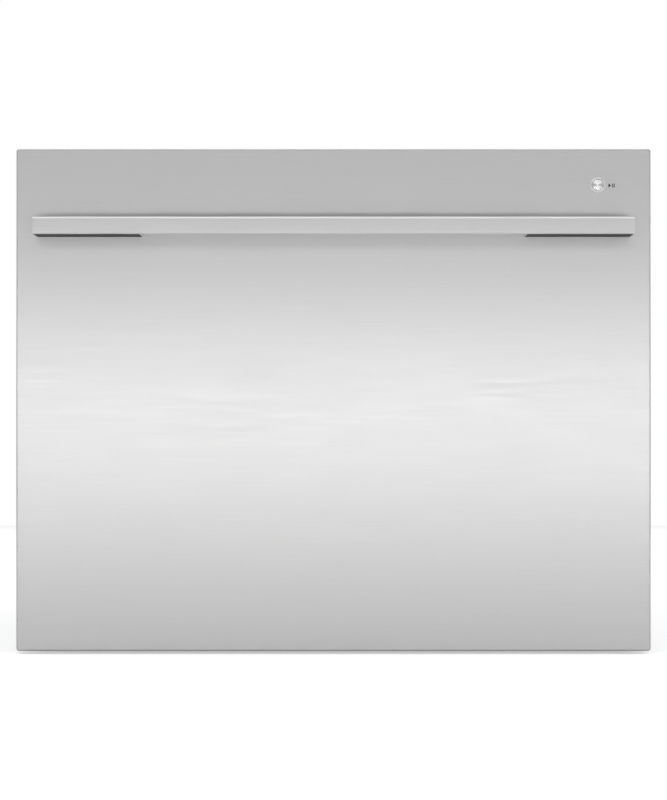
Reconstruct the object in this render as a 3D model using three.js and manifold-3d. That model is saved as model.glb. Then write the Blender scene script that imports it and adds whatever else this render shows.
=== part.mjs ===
// A single-drawer dishwasher, closed, as an assembly of separate pieces in millimetres.
// +Z is up and the drawer front faces -Y. The origin is on the floor, under the middle of the machine.
// The drawer (front, tub, racks, spray arm, pump) slides towards -Y out of a sheet-steel cabinet.
import * as THREE from "three";
import { mergeVertices } from "three/addons/utils/BufferGeometryUtils.js";
import Module from "manifold-3d";

const wasm = await Module();
wasm.setup();

// ---------------------------------------------------------------- driving dimensions
const GAP = 0.3; // between pieces that touch
const RUN = 0.6; // between pieces that move past each other

const FRONT = { width: 599, height: 474, depth: 22, corner: 2.5, edge: 1.5, sheet: 1.2 };
const BODY_DEPTH = 573; // steel face of the front to the back of the cabinet
const FLOOR_GAP = 3; // under the front's lower edge
// The bar's top edge lies `down` below the front's top edge, and each of its feet is `foot` wide.
const HANDLE = { length: 560, height: 16, thickness: 10, reach: 44, foot: 100, down: 66.5, edge: 1.5 };
const BUTTON = { x: 249.3, down: 34, radius: 5.3, ring: 7.1, bore: 5.6, proud: 0.8, stem: 8 };

const CABINET = { width: 595, bottom: 12, top: 470, sheet: 1.5, flange: 15 };
const TUB = { width: 524, depth: 476, floor: 85, rim: 420, wall: 4, corner: 40, lip: 10 };
const WELL = { radius: 118, ledge: 130, flange: 138, ledgeTop: 84, floor: 55, cup: 40, cupFloor: 32 };
const LID = { width: 546, depth: 494, bottom: 438, height: 18, travel: 11.4, wall: 4 };
const TRAVEL = 480; // how far the drawer pulls out, on runners that are hardly shorter
const RUNNER = { height: 45, z: 252.5, length: TRAVEL - 2, sheet: 1.8, lip: 282.5, turn: 3.2 };
const RACK = { x: 246, front: -210, back: 232, corner: 12, floor: 124, rim: 250, wire: 4.5, rimWire: 6 };
const SPRAY = { reach: 215, bottom: 98, height: 14, hub: 22, root: 20, tip: 14, sweep: 8 };
const LINK = { length: 470, width: 22, height: 18, x: -240, pin: 4.3, rearY: 291, tubY: 272, z: 140 };

// Where the main planes lie.
const FACE_Y = -(BODY_DEPTH + HANDLE.reach) / 2 + HANDLE.reach;
const BACK_Y = FACE_Y + BODY_DEPTH;
const DOOR_BACK_Y = FACE_Y + FRONT.depth;
const CABINET_FRONT_Y = DOOR_BACK_Y + 3;
const FRONT_TOP = FLOOR_GAP + FRONT.height;
const TUB_FRONT_Y = -226;
const TUB_BACK_Y = TUB_FRONT_Y + TUB.depth;
const TUB_Y = (TUB_FRONT_Y + TUB_BACK_Y) / 2;
const SIDE_IN = CABINET.width / 2 - CABINET.sheet; // inner face of a side panel
const FLOOR_TOP = TUB.floor + TUB.wall;

// ---------------------------------------------------------------- helpers
// A closed three.js geometry as a solid that can be joined and cut.
function solid(geometry) {
  const loose = geometry.index ? geometry.toNonIndexed() : geometry.clone();
  loose.deleteAttribute("normal");
  loose.deleteAttribute("uv");
  const merged = mergeVertices(loose, 1e-4);
  return new wasm.Manifold(
    new wasm.Mesh({
      numProp: 3,
      vertProperties: merged.attributes.position.array,
      triVerts: new Uint32Array(merged.index.array),
    }),
  );
}

function joined(first, ...others) {
  return others.reduce((all, one) => all.add(one), first);
}

function cut(body, ...tools) {
  return tools.reduce((left, tool) => left.subtract(tool), body);
}

function geometryOf(body) {
  const mesh = body.getMesh();
  const geometry = new THREE.BufferGeometry();
  geometry.setAttribute("position", new THREE.BufferAttribute(mesh.vertProperties, 3));
  geometry.setIndex(new THREE.BufferAttribute(mesh.triVerts, 1));
  return geometry.toNonIndexed();
}

// A rectangular block between two planes on each axis, given in either order.
function block([xa, xb], [ya, yb], [za, zb]) {
  const box = new THREE.BoxGeometry(Math.abs(xb - xa), Math.abs(yb - ya), Math.abs(zb - za));
  return solid(box.translate((xa + xb) / 2, (ya + yb) / 2, (za + zb) / 2));
}

// A cylinder along an axis through a centre, from one plane to another.
function cylinder(axis, radius, [from, to], [a, b], sides = 24) {
  const bar = new THREE.CylinderGeometry(radius, radius, Math.abs(to - from), sides);
  const middle = (from + to) / 2;
  if (axis === "x") return solid(bar.rotateZ(Math.PI / 2).translate(middle, a, b));
  if (axis === "y") return solid(bar.translate(a, middle, b));
  return solid(bar.rotateX(Math.PI / 2).translate(a, b, middle));
}

// A shape drawn in two axes and extruded along the third, from one plane to another.
function extruded(axis, shape, [from, to], curveSegments = 6) {
  const geometry = new THREE.ExtrudeGeometry(shape, {
    depth: Math.abs(to - from),
    bevelEnabled: false,
    curveSegments,
  });
  const low = Math.min(from, to);
  if (axis === "x") {
    const turn = new THREE.Matrix4().makeBasis(
      new THREE.Vector3(0, 1, 0),
      new THREE.Vector3(0, 0, 1),
      new THREE.Vector3(1, 0, 0),
    );
    return solid(geometry.applyMatrix4(turn).translate(low, 0, 0));
  }
  if (axis === "y") return solid(geometry.rotateX(Math.PI / 2).translate(0, Math.max(from, to), 0));
  return solid(geometry.translate(0, 0, low));
}

function outline(points) {
  return new THREE.Shape(points.map(([a, b]) => new THREE.Vector2(a, b)));
}

function roundedRect([xa, xb], [ya, yb], radius) {
  const shape = new THREE.Shape();
  shape.moveTo(xa + radius, ya);
  shape.lineTo(xb - radius, ya);
  shape.absarc(xb - radius, ya + radius, radius, -Math.PI / 2, 0);
  shape.lineTo(xb, yb - radius);
  shape.absarc(xb - radius, yb - radius, radius, 0, Math.PI / 2);
  shape.lineTo(xa + radius, yb);
  shape.absarc(xa + radius, yb - radius, radius, Math.PI / 2, Math.PI);
  shape.lineTo(xa, ya + radius);
  shape.absarc(xa + radius, ya + radius, radius, Math.PI, 1.5 * Math.PI);
  return shape;
}

// A rounded plate lying flat: its plan is a rounded rectangle.
function slab(xs, ys, zs, radius, curveSegments = 4) {
  return extruded("z", roundedRect(xs, ys, radius), zs, curveSegments);
}

// A straight piece of square wire between two points that differ along one axis.
function wire(from, to, size) {
  const half = size / 2;
  const spans = from.map((v, i) => [Math.min(v, to[i]) - half, Math.max(v, to[i]) + half]);
  return block(...spans);
}

const material = (color, roughness, metalness) =>
  new THREE.MeshStandardMaterial({ color, roughness, metalness });
const brushedSteel = material(0xc9c9c9, 0.32, 1);
const zincSteel = material(0xb4b9bd, 0.42, 1);
const springSteel = material(0xd6d8da, 0.25, 1);
const greyTub = material(0xc3c8cb, 0.5, 0);
const greyLid = material(0xd7dadb, 0.55, 0);
const rackGrey = material(0x6f7880, 0.45, 0);
const armGrey = material(0x596067, 0.5, 0);
const darkPlastic = material(0x2b2d30, 0.4, 0);
const blackPlastic = material(0x1b1c1e, 0.6, 0);
const whitePlastic = material(0xe9eaea, 0.5, 0);
const rubber = material(0x3a3c3e, 0.8, 0);
const buttonMetal = material(0xe0e0e0, 0.28, 1);

function piece(name, body, look) {
  const mesh = new THREE.Mesh(geometryOf(body), look);
  mesh.name = name;
  return mesh;
}

const machine = new THREE.Group();
const drawer = new THREE.Group();
const lidGroup = new THREE.Group();
machine.add(drawer, lidGroup);

// ---------------------------------------------------------------- cabinet
// Each side is one folded galvanised sheet: a wall with an inward flange along its top and bottom.
function sidePanel(side) {
  const outer = (side * CABINET.width) / 2;
  const inner = side * SIDE_IN;
  const lip = outer - side * CABINET.flange;
  const { bottom, sheet } = CABINET;
  const top = CABINET.top - sheet - GAP; // the roof lies on this flange
  const section = outline([
    [outer, bottom],
    [outer, top],
    [lip, top],
    [lip, top - sheet],
    [inner, top - sheet],
    [inner, bottom + sheet],
    [lip, bottom + sheet],
    [lip, bottom],
  ]);
  return extruded("y", section, [CABINET_FRONT_Y, BACK_Y]);
}

// The back wall fits between the sides, with a window for the services and a stand for the hose link.
const WINDOW = { xs: [50, 278], zs: [34, 104], corner: 8 };
const STAND = { halfWidth: 14, thickness: 6 };
function rearPanel() {
  const half = SIDE_IN - GAP;
  const wall = [BACK_Y - CABINET.sheet, BACK_Y];
  const plate = block([-half, half], wall, [CABINET.bottom + 4, CABINET.top - 5]);
  const opening = roundedRect(WINDOW.xs, WINDOW.zs, WINDOW.corner);
  const window = extruded("y", opening, [wall[0] - 1, wall[1] + 1]);
  const top = LINK.z - 2; // the rear arm turns just over the stand
  const stand = block(
    [LINK.x - STAND.halfWidth, LINK.x + STAND.halfWidth],
    [LINK.rearY - LINK.width / 2, wall[0] + 0.5],
    [top - STAND.thickness, top],
  );
  const pin = cylinder("z", LINK.pin, [top - 1, LINK.z + LINK.height - 1], [LINK.x, LINK.rearY], 16);
  return joined(cut(plate, window), stand, pin);
}

const RAIL_DEPTH = 25;

// The roof is a flat sheet on the side flanges, with pressed ribs that stiffen it.
const RIB = { xs: [-150, 0, 150], half: 12, ys: [-150, 230], depth: 2.5 };
function topCover() {
  const half = CABINET.width / 2;
  const sheet = [CABINET.top - 1.2, CABINET.top];
  const plate = block([-half, half], [CABINET_FRONT_Y + RAIL_DEPTH + 3, BACK_Y], sheet);
  const ribs = RIB.xs.map((x) =>
    slab([x - RIB.half, x + RIB.half], RIB.ys, [sheet[0] - RIB.depth, sheet[0] + 0.2], RIB.half - 0.5, 2),
  );
  return joined(plate, ...ribs);
}

// A folded rail ties the two sides together over the drawer.
function frontTopRail() {
  const ys = [CABINET_FRONT_Y, CABINET_FRONT_Y + RAIL_DEPTH];
  const zs = [LID.bottom + LID.height + 3, CABINET.top - 5];
  const half = SIDE_IN - GAP;
  const sheet = CABINET.sheet;
  const section = outline([
    [ys[0], zs[0]],
    [ys[1], zs[0]],
    [ys[1], zs[0] + sheet],
    [ys[0] + sheet, zs[0] + sheet],
    [ys[0] + sheet, zs[1] - sheet],
    [ys[1], zs[1] - sheet],
    [ys[1], zs[1]],
    [ys[0], zs[1]],
  ]);
  return extruded("x", section, [-half, half]);
}

const FOOT = { x: 262, frontY: -205, backY: 272, pad: 18, stud: 4, boss: 12, bossTop: 42 };
const footPlaces = [
  ["front_left", -FOOT.x, FOOT.frontY],
  ["front_right", FOOT.x, FOOT.frontY],
  ["rear_left", -FOOT.x, FOOT.backY],
  ["rear_right", FOOT.x, FOOT.backY],
];

// A plastic tray closes the bottom and catches drips. Its bosses take the feet.
function baseTray() {
  const half = SIDE_IN - GAP;
  const ys = [CABINET_FRONT_Y + 1, BACK_Y - CABINET.sheet - GAP];
  const bottom = CABINET.bottom + CABINET.sheet + GAP;
  const wall = 2.5;
  const rim = 24; // the pump passes over the front wall
  const shell = slab([-half, half], ys, [bottom, rim], 6, 2);
  const inside = [ys[0] + wall, ys[1] - wall];
  const hollow = slab([-half + wall, half - wall], inside, [bottom + wall, rim + 1], 4, 2);
  const bosses = footPlaces.map(([, x, y]) => cylinder("z", FOOT.boss, [bottom, FOOT.bossTop], [x, y], 12));
  const holes = footPlaces.map(([, x, y]) =>
    cylinder("z", FOOT.stud + RUN, [bottom - 1, FOOT.bossTop + 1], [x, y], 12),
  );
  return cut(joined(cut(shell, hollow), ...bosses), ...holes);
}

// A levelling foot: a threaded stud on a round pad, at its own origin.
function levellingFoot() {
  const pad = new THREE.LatheGeometry(
    [
      [0, 0],
      [FOOT.pad - 1, 0],
      [FOOT.pad, 1.5],
      [FOOT.pad - 3, 7],
      [7, 9],
      [FOOT.stud, 9],
      [FOOT.stud, FOOT.bossTop - 3],
      [0, FOOT.bossTop - 3],
    ].map(([r, z]) => new THREE.Vector2(r, z)),
    12,
  );
  return solid(pad.rotateX(Math.PI / 2));
}

machine.add(
  piece("left_side_panel", sidePanel(-1), zincSteel),
  piece("right_side_panel", sidePanel(1), zincSteel),
  piece("rear_panel", rearPanel(), zincSteel),
  piece("top_cover", topCover(), zincSteel),
  piece("front_top_rail", frontTopRail(), zincSteel),
  piece("base_tray", baseTray(), blackPlastic),
);
for (const [place, x, y] of footPlaces) {
  const foot = piece(`levelling_foot_${place}`, levellingFoot(), blackPlastic);
  foot.position.set(x, y, 0);
  machine.add(foot);
}

// ---------------------------------------------------------------- services at the back
const SERVICE_END = BACK_Y - 4;
const INLET = { x: 240, z: 70, thread: 13, bore: 8 };
const OUTLET = { x: 170, z: 52, spigot: 10.5, bore: 7.5 };
const MAINS = { x: 92, z: 72, gland: 9, bore: 4 };

// The solenoid fill valve: a moulded body, a coil on top and a threaded hose union.
function inletValve() {
  const { x, z, thread, bore } = INLET;
  const body = block([x - 18, x + 18], [264, 286], [z - 20, z + 14]);
  const coil = cylinder("z", 13, [z + 13.5, z + 40], [x, 275], 16);
  const union = cylinder("y", thread, [285, SERVICE_END], [x, z], 16);
  const flange = cylinder("y", thread + 3, [285, 289], [x, z], 16);
  const hole = cylinder("y", bore, [290, SERVICE_END + 1], [x, z], 16);
  return cut(joined(body, coil, union, flange), hole);
}

// The used water leaves through a spigot with a barb.
function drainOutlet() {
  const { x, z, spigot, bore } = OUTLET;
  const body = block([x - 15, x + 15], [270, 287], [z - 14, z + 14]);
  const tube = cylinder("y", spigot, [286, SERVICE_END], [x, z], 16);
  const barb = cylinder("y", spigot + 1.5, [296, 300], [x, z], 16);
  return cut(joined(body, tube, barb), cylinder("y", bore, [292, SERVICE_END + 1], [x, z], 16));
}

// The terminal box for the mains, with the gland that a supply lead would pass through.
function mainsInlet() {
  const { x, z, gland, bore } = MAINS;
  const box = slab([x - 28, x + 28], [262, 292], [z - 22, z + 22], 4, 2);
  const nut = cylinder("y", gland + 4, [291, 298], [x, z], 6);
  const neck = cylinder("y", gland, [291, SERVICE_END], [x, z], 16);
  return cut(joined(box, nut, neck), cylinder("y", bore, [293, SERVICE_END + 1], [x, z], 12));
}

machine.add(
  piece("water_inlet_valve", inletValve(), whitePlastic),
  piece("drain_outlet", drainOutlet(), darkPlastic),
  piece("mains_inlet_box", mainsInlet(), darkPlastic),
);

// ---------------------------------------------------------------- runners
// Three nested channels on each side. The outer is fixed, the middle moves half as far as the inner.
const RUNNER_YS = [CABINET_FRONT_Y + 4, CABINET_FRONT_Y + 4 + RUNNER.length];

const NEST = RUNNER.sheet + RUN; // how much smaller each channel is than the one around it

// A channel that opens towards the tub: web at x, arms reaching to lip, with short returns.
function channel(side, { web, lip, height }) {
  const t = RUNNER.sheet;
  const [low, high] = [RUNNER.z - height / 2, RUNNER.z + height / 2];
  const section = outline([
    [side * web, low],
    [side * web, high],
    [side * lip, high],
    [side * lip, high - t - RUNNER.turn],
    [side * (lip + t), high - t - RUNNER.turn],
    [side * (lip + t), high - t],
    [side * (web - t), high - t],
    [side * (web - t), low + t],
    [side * (lip + t), low + t],
    [side * (lip + t), low + t + RUNNER.turn],
    [side * lip, low + t + RUNNER.turn],
    [side * lip, low],
  ]);
  return extruded("y", section, RUNNER_YS);
}

const OUTER = { web: SIDE_IN - GAP, lip: RUNNER.lip, height: RUNNER.height };
const MIDDLE = { web: OUTER.web - NEST, lip: OUTER.lip + NEST, height: OUTER.height - 2 * NEST };

// The inner rail is a tee that runs in the middle channel and is screwed flat to the tub's wall.
const TEE = { thickness: 2, halfFoot: 26, halfWeb: 3 };
function innerRail(side) {
  const foot = TUB.width / 2 + GAP;
  const plate = foot + TEE.thickness;
  const tip = MIDDLE.web - NEST;
  const head = MIDDLE.lip + NEST;
  const reach = MIDDLE.height / 2 - NEST;
  const upper = [
    [plate, TEE.halfFoot],
    [plate, TEE.halfWeb],
    [head, TEE.halfWeb],
    [head, reach],
    [tip, reach],
  ];
  const lower = upper.map(([x, rise]) => [x, -rise]).reverse();
  const half = [[foot, TEE.halfFoot], ...upper, ...lower, [foot, -TEE.halfFoot]];
  const section = outline(half.map(([x, rise]) => [side * x, RUNNER.z + rise]));
  return extruded("y", section, RUNNER_YS);
}

for (const [place, side] of [["left", -1], ["right", 1]]) {
  machine.add(
    piece(`${place}_runner_outer`, channel(side, OUTER), springSteel),
    piece(`${place}_runner_middle`, channel(side, MIDDLE), springSteel),
  );
  drawer.add(piece(`${place}_runner_inner`, innerRail(side), springSteel));
}

// ---------------------------------------------------------------- lid and its lifting gear
const GEAR = { module: 1.5, teeth: 12, pressure: (20 * Math.PI) / 180, slack: 0.35, width: 6, shaft: 2.5 };
const GEAR_PITCH = (GEAR.module * GEAR.teeth) / 2;
const RACK_BAR = { inner: TUB.width / 2 + 11.5, thickness: 4, y: 0, back: 8, bottom: 434 };
const PINION = { x: RACK_BAR.inner + 3, y: RACK_BAR.y + GEAR_PITCH, z: 440 };

const involute = (angle) => Math.tan(angle) - angle;

// An involute spur gear about the X axis, with one tooth pointing along -Y.
function pinion() {
  const base = GEAR_PITCH * Math.cos(GEAR.pressure);
  const root = GEAR_PITCH - 1.35 * GEAR.module;
  const tip = GEAR_PITCH + 0.8 * GEAR.module;
  const thickness = (Math.PI * GEAR.module) / 2 - GEAR.slack;
  const halfAtPitch = thickness / 2 / GEAR_PITCH;
  const halfAt = (r) => halfAtPitch + involute(GEAR.pressure) - involute(Math.acos(base / r));
  const flank = [
    [root, halfAt(base) + 0.05],
    ...[base, tip].map((r) => [r, halfAt(r)]),
  ];
  const points = [];
  for (let tooth = 0; tooth < GEAR.teeth; tooth++) {
    const centre = Math.PI + (tooth * 2 * Math.PI) / GEAR.teeth;
    for (const [r, half] of flank) points.push([r * Math.cos(centre - half), r * Math.sin(centre - half)]);
    for (const [r, half] of [...flank].reverse())
      points.push([r * Math.cos(centre + half), r * Math.sin(centre + half)]);
  }
  const wheel = extruded("x", outline(points), [0, GEAR.width]);
  return cut(wheel, cylinder("x", GEAR.shaft + GAP, [-1, GEAR.width + 1], [0, 0], 12));
}

// The toothed bar that hangs from the lid's edge and meets the pinion at height PINION.z.
function lidRack(side) {
  const pitch = Math.PI * GEAR.module;
  const half = (pitch / 2 - GEAR.slack) / 2;
  const slope = Math.tan(GEAR.pressure);
  const tip = 0.65 * GEAR.module;
  const root = 1.1 * GEAR.module;
  const top = LID.bottom + LID.height;
  const points = [[RACK_BAR.y - RACK_BAR.back, RACK_BAR.bottom]];
  points.push([RACK_BAR.y - root, RACK_BAR.bottom]);
  for (let n = -3.5; n < 3.5; n++) {
    const z = PINION.z + n * pitch;
    if (z - half - 1 < RACK_BAR.bottom || z + half + 1 > top) continue;
    points.push([RACK_BAR.y - root, z - half - root * slope]);
    points.push([RACK_BAR.y + tip, z - half + tip * slope]);
    points.push([RACK_BAR.y + tip, z + half - tip * slope]);
    points.push([RACK_BAR.y - root, z + half + root * slope]);
  }
  points.push([RACK_BAR.y - root, top], [RACK_BAR.y - RACK_BAR.back, top]);
  const xs = [side * RACK_BAR.inner, side * (RACK_BAR.inner + RACK_BAR.thickness)];
  const arm = block(
    [side * (LID.width / 2 - 3), xs[1]],
    [RACK_BAR.y - RACK_BAR.back, RACK_BAR.y - root],
    [LID.bottom, top],
  );
  return joined(extruded("x", outline(points), xs), arm);
}

// The lid is a shallow moulding, open upwards, with a cross of ribs.
function lid() {
  const { wall, bottom, height } = LID;
  const top = bottom + height;
  const [halfX, halfY] = [LID.width / 2, LID.depth / 2];
  const corner = TUB.corner + TUB.lip - 2;
  const body = slab([-halfX, halfX], [TUB_Y - halfY, TUB_Y + halfY], [bottom, top], corner, 3);
  const hollow = slab(
    [-halfX + wall, halfX - wall],
    [TUB_Y - halfY + wall, TUB_Y + halfY - wall],
    [bottom + wall, top + 1],
    corner - wall,
    3,
  );
  const ribs = [
    block([-wall / 2, wall / 2], [TUB_Y - halfY + 1, TUB_Y + halfY - 1], [bottom + 1, top - 2]),
    block([-halfX + 1, halfX - 1], [TUB_Y - wall / 2, TUB_Y + wall / 2], [bottom + 1, top - 2]),
  ];
  return joined(cut(body, hollow), ...ribs, lidRack(-1), lidRack(1));
}

// The rubber seal under the lid lands on the tub's rim when the lid comes down.
const SEAL = { width: 10, corner: 48 };
function lidSeal() {
  const top = LID.bottom - GAP;
  const bottom = TUB.rim + LID.travel + GAP;
  const [halfX, halfY] = [TUB.width / 2 + TUB.lip - 1, TUB.depth / 2 + TUB.lip - 1];
  const { width, corner } = SEAL;
  const ring = slab([-halfX, halfX], [TUB_Y - halfY, TUB_Y + halfY], [bottom, top], corner, 3);
  const inside = slab(
    [-halfX + width, halfX - width],
    [TUB_Y - halfY + width, TUB_Y + halfY - width],
    [bottom - 1, top + 1],
    corner - width,
    3,
  );
  return cut(ring, inside);
}

// The motor that turns a pinion, in a flat case against the side panel.
const ACTUATOR = { ys: [-14, 44], below: 16, above: 24 };
function lidActuator(side) {
  const { ys, below, above } = ACTUATOR;
  const inner = PINION.x + GEAR.width + RUN;
  const centre = [PINION.y, PINION.z];
  const box = block([side * inner, side * (SIDE_IN - GAP)], ys, [PINION.z - below, PINION.z + above]);
  const shaft = cylinder("x", GEAR.shaft, [side * (PINION.x - 1), side * (inner + 1)], centre, 12);
  return joined(box, shaft);
}

lidGroup.add(piece("lid", lid(), greyLid), piece("lid_seal", lidSeal(), rubber));
for (const [place, side] of [["left", -1], ["right", 1]]) {
  machine.add(piece(`lid_actuator_${place}`, lidActuator(side), whitePlastic));
  const wheel = piece(`lid_pinion_${place}`, pinion(), whitePlastic);
  wheel.position.set(side < 0 ? -PINION.x - GEAR.width : PINION.x, PINION.y, PINION.z);
  machine.add(wheel);
}

// ---------------------------------------------------------------- hose link
// Two carriers fold sideways behind the tub and stretch out as the drawer opens, with the hoses and the
// wiring in their channels. The rear one turns on the cabinet, the front one on the tub.
const linkHalfGap = (LINK.rearY - LINK.tubY) / 2;
const linkRestAngle = Math.asin(linkHalfGap / LINK.length);

// One carrier along +X from its pivot at the origin.
function linkArm() {
  const r = LINK.width / 2;
  const shape = new THREE.Shape();
  shape.absarc(0, 0, r, Math.PI / 2, 1.5 * Math.PI);
  shape.lineTo(LINK.length, -r);
  shape.absarc(LINK.length, 0, r, -Math.PI / 2, Math.PI / 2);
  const bar = extruded("z", shape, [0, LINK.height], 5);
  const hole = cylinder("z", LINK.pin + GAP, [-1, LINK.height + 1], [0, 0], 16);
  const wall = 2.5;
  const groove = block([r + 1, LINK.length], [-r + wall, r - wall], [wall, LINK.height + 1]);
  return cut(bar, hole, groove);
}

const rearArm = piece("hose_link_rear_arm", linkArm(), blackPlastic);
rearArm.position.set(LINK.x, LINK.rearY, LINK.z);
rearArm.rotation.z = -linkRestAngle;
machine.add(rearArm);
const frontArm = piece("hose_link_front_arm", linkArm(), blackPlastic);
frontArm.position.set(LINK.x, LINK.tubY, LINK.z + LINK.height + 2);
frontArm.rotation.z = linkRestAngle;
drawer.add(frontArm);

// ---------------------------------------------------------------- drawer front
const BUTTON_Z = FRONT_TOP - BUTTON.down;
const STRIP = {
  front: FACE_Y + 6.3,
  back: DOOR_BACK_Y - GAP,
  bottom: 462,
  top: FRONT_TOP - 0.5,
  halfWidth: 294,
};

// The steel front is one pressed pan: a face with softened edges and returns on all four sides.
function frontPanel() {
  const half = FRONT.width / 2;
  const { edge, sheet, corner } = FRONT;
  const faceZs = [FLOOR_GAP + edge, FRONT_TOP - edge];
  const face = roundedRect([-half + edge, half - edge], faceZs, corner - edge);
  const bulk = new THREE.ExtrudeGeometry(face, {
    depth: FRONT.depth,
    bevelThickness: edge,
    bevelSize: edge,
    bevelSegments: 2,
    curveSegments: 2,
  });
  const whole = solid(bulk.rotateX(Math.PI / 2).translate(0, FACE_Y + edge + FRONT.depth, 0));
  const behind = block([-half - 1, half + 1], [DOOR_BACK_Y, DOOR_BACK_Y + 20], [0, FRONT_TOP + 2]);
  const hollow = block(
    [-half + sheet, half - sheet],
    [FACE_Y + sheet, DOOR_BACK_Y + 1],
    [FLOOR_GAP + sheet, FRONT_TOP - sheet],
  );
  const stripOpening = block(
    [-half + sheet, half - sheet],
    [STRIP.front - GAP, DOOR_BACK_Y + 1],
    [STRIP.bottom - 2, FRONT_TOP + 1],
  );
  const hole = cylinder("y", BUTTON.ring - 0.5, [FACE_Y - 1, FACE_Y + 5], [BUTTON.x, BUTTON_Z]);
  return cut(whole, behind, hollow, stripOpening, hole);
}

// The flat bar of the handle, with its long edges broken.
function handleBar() {
  const [front, back] = [FACE_Y - HANDLE.reach, FACE_Y - HANDLE.reach + HANDLE.thickness];
  const top = FRONT_TOP - HANDLE.down;
  const bottom = top - HANDLE.height;
  const broken = HANDLE.edge;
  const sharp = HANDLE.edge / 3;
  const section = outline([
    [front, bottom + broken],
    [front + broken, bottom],
    [back - sharp, bottom],
    [back, bottom + sharp],
    [back, top - sharp],
    [back - sharp, top],
    [front + broken, top],
    [front, top - broken],
  ]);
  return extruded("x", section, [-HANDLE.length / 2, HANDLE.length / 2]);
}

// A wide solid foot joins each end of the bar to the steel front.
function handleMount(side) {
  const top = FRONT_TOP - HANDLE.down;
  const end = (side * HANDLE.length) / 2;
  return block(
    [end, end - side * HANDLE.foot],
    [FACE_Y - HANDLE.reach + HANDLE.thickness + GAP, FACE_Y - GAP],
    [top - HANDLE.height, top],
  );
}

// A thin ring trims the hole in the steel, and a round steel button slides in it.
function buttonBezel() {
  const centre = [BUTTON.x, BUTTON_Z];
  const flange = cylinder("y", BUTTON.ring, [FACE_Y - BUTTON.proud, FACE_Y - GAP], centre);
  const sleeve = cylinder("y", BUTTON.ring - 0.9, [FACE_Y - GAP - 0.1, FACE_Y + 4], centre);
  const bore = cylinder("y", BUTTON.bore, [FACE_Y - 2, FACE_Y + 5], centre);
  return cut(joined(flange, sleeve), bore);
}

const startButton = () =>
  cylinder("y", BUTTON.radius, [FACE_Y - BUTTON.proud, FACE_Y + BUTTON.stem], [BUTTON.x, BUTTON_Z]);

const DISPENSER = { halfWidth: 72, bottom: 296, top: 384, front: FACE_Y + 8.5, flange: 8 };
const TRAY_WALL = 4;
const FAN = { x: -215, z: 400, case: 40, rotor: 27, hub: 9, inlet: 16, vent: 14, blades: 8 };
const FAN_YS = [FACE_Y + 3, DOOR_BACK_Y - TRAY_WALL];

// A flat radial fan dries the load. Its round case, with an inlet and a side outlet, is part of the tray.
function fanCase() {
  const { x, z, case: radius, inlet } = FAN;
  const [front, back] = FAN_YS;
  const shell = joined(
    cylinder("y", radius, [front, back + 0.5], [x, z]),
    block([x, x + radius + 6], [front, back + 0.5], [z + 12, z + radius - 1]),
  );
  const chamber = cylinder("y", radius - 6, [front + 2.5, back], [x, z]);
  const mouth = cylinder("y", inlet, [front - 1, front + 4], [x, z], 16);
  const outlet = block([x + 8, x + radius + 7], [front + 3, back - 1], [z + 16, z + radius - 5]);
  return cut(shell, chamber, mouth, outlet);
}

// The moulded back of the front: a tray that holds the electronics and the drying fan.
function doorInner() {
  const half = FRONT.width / 2 - FRONT.sheet - GAP;
  const zs = [FLOOR_GAP + FRONT.sheet + GAP, STRIP.bottom - GAP];
  const front = FACE_Y + FRONT.sheet + GAP;
  const wall = TRAY_WALL;
  const tray = block([-half, half], [front, DOOR_BACK_Y], zs);
  const pocket = block(
    [-half + wall, half - wall],
    [front - 1, DOOR_BACK_Y - wall],
    [zs[0] + wall, zs[1] - wall],
  );
  const { halfWidth, bottom, top } = DISPENSER;
  const opening = block(
    [-halfWidth - 2, halfWidth + 2],
    [front - 1, DOOR_BACK_Y + 1],
    [bottom - 2, top + 2],
  );
  const vent = cylinder("y", FAN.vent, [DOOR_BACK_Y - wall - 1, DOOR_BACK_Y + 1], [FAN.x, FAN.z], 16);
  return cut(joined(cut(tray, pocket), fanCase()), opening, vent);
}

function fanRotor() {
  const { x, z, rotor, hub, blades } = FAN;
  const [front, back] = [FAN_YS[0] + 3.5, FAN_YS[1] - 2.5];
  const length = rotor - hub;
  const turned = Array.from({ length: blades }, (_, n) => {
    const blade = new THREE.BoxGeometry(length, back - front, 1.6);
    blade.translate(hub + length / 2 - 0.5, (front + back) / 2, 0);
    return solid(blade.rotateY((n * 2 * Math.PI) / blades).translate(x, 0, z));
  });
  const disc = cylinder("y", rotor, [back - 1.5, back], [x, z], 20);
  return joined(cylinder("y", hub, [front, back], [x, z], 12), disc, ...turned);
}

// The control strip lies along the top of the front and faces up, so it shows only when the drawer is open.
const KEYS = [["power", 150], ["program", 178], ["delay", 206]];
const KEY = { width: 18, depth: 8, height: 5, y: (STRIP.front + STRIP.back) / 2 };

function controlStrip() {
  const { front, back, bottom, top, halfWidth } = STRIP;
  const strip = block([-halfWidth, halfWidth], [front, back], [bottom, top]);
  const wells = KEYS.map(([, x]) =>
    block(
      [x - KEY.width / 2 - GAP, x + KEY.width / 2 + GAP],
      [KEY.y - KEY.depth / 2 - GAP, KEY.y + KEY.depth / 2 + GAP],
      [top - KEY.height - 1.5, top + 1],
    ),
  );
  return cut(strip, ...wells);
}

const key = () => new THREE.BoxGeometry(KEY.width, KEY.depth, KEY.height);

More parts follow.
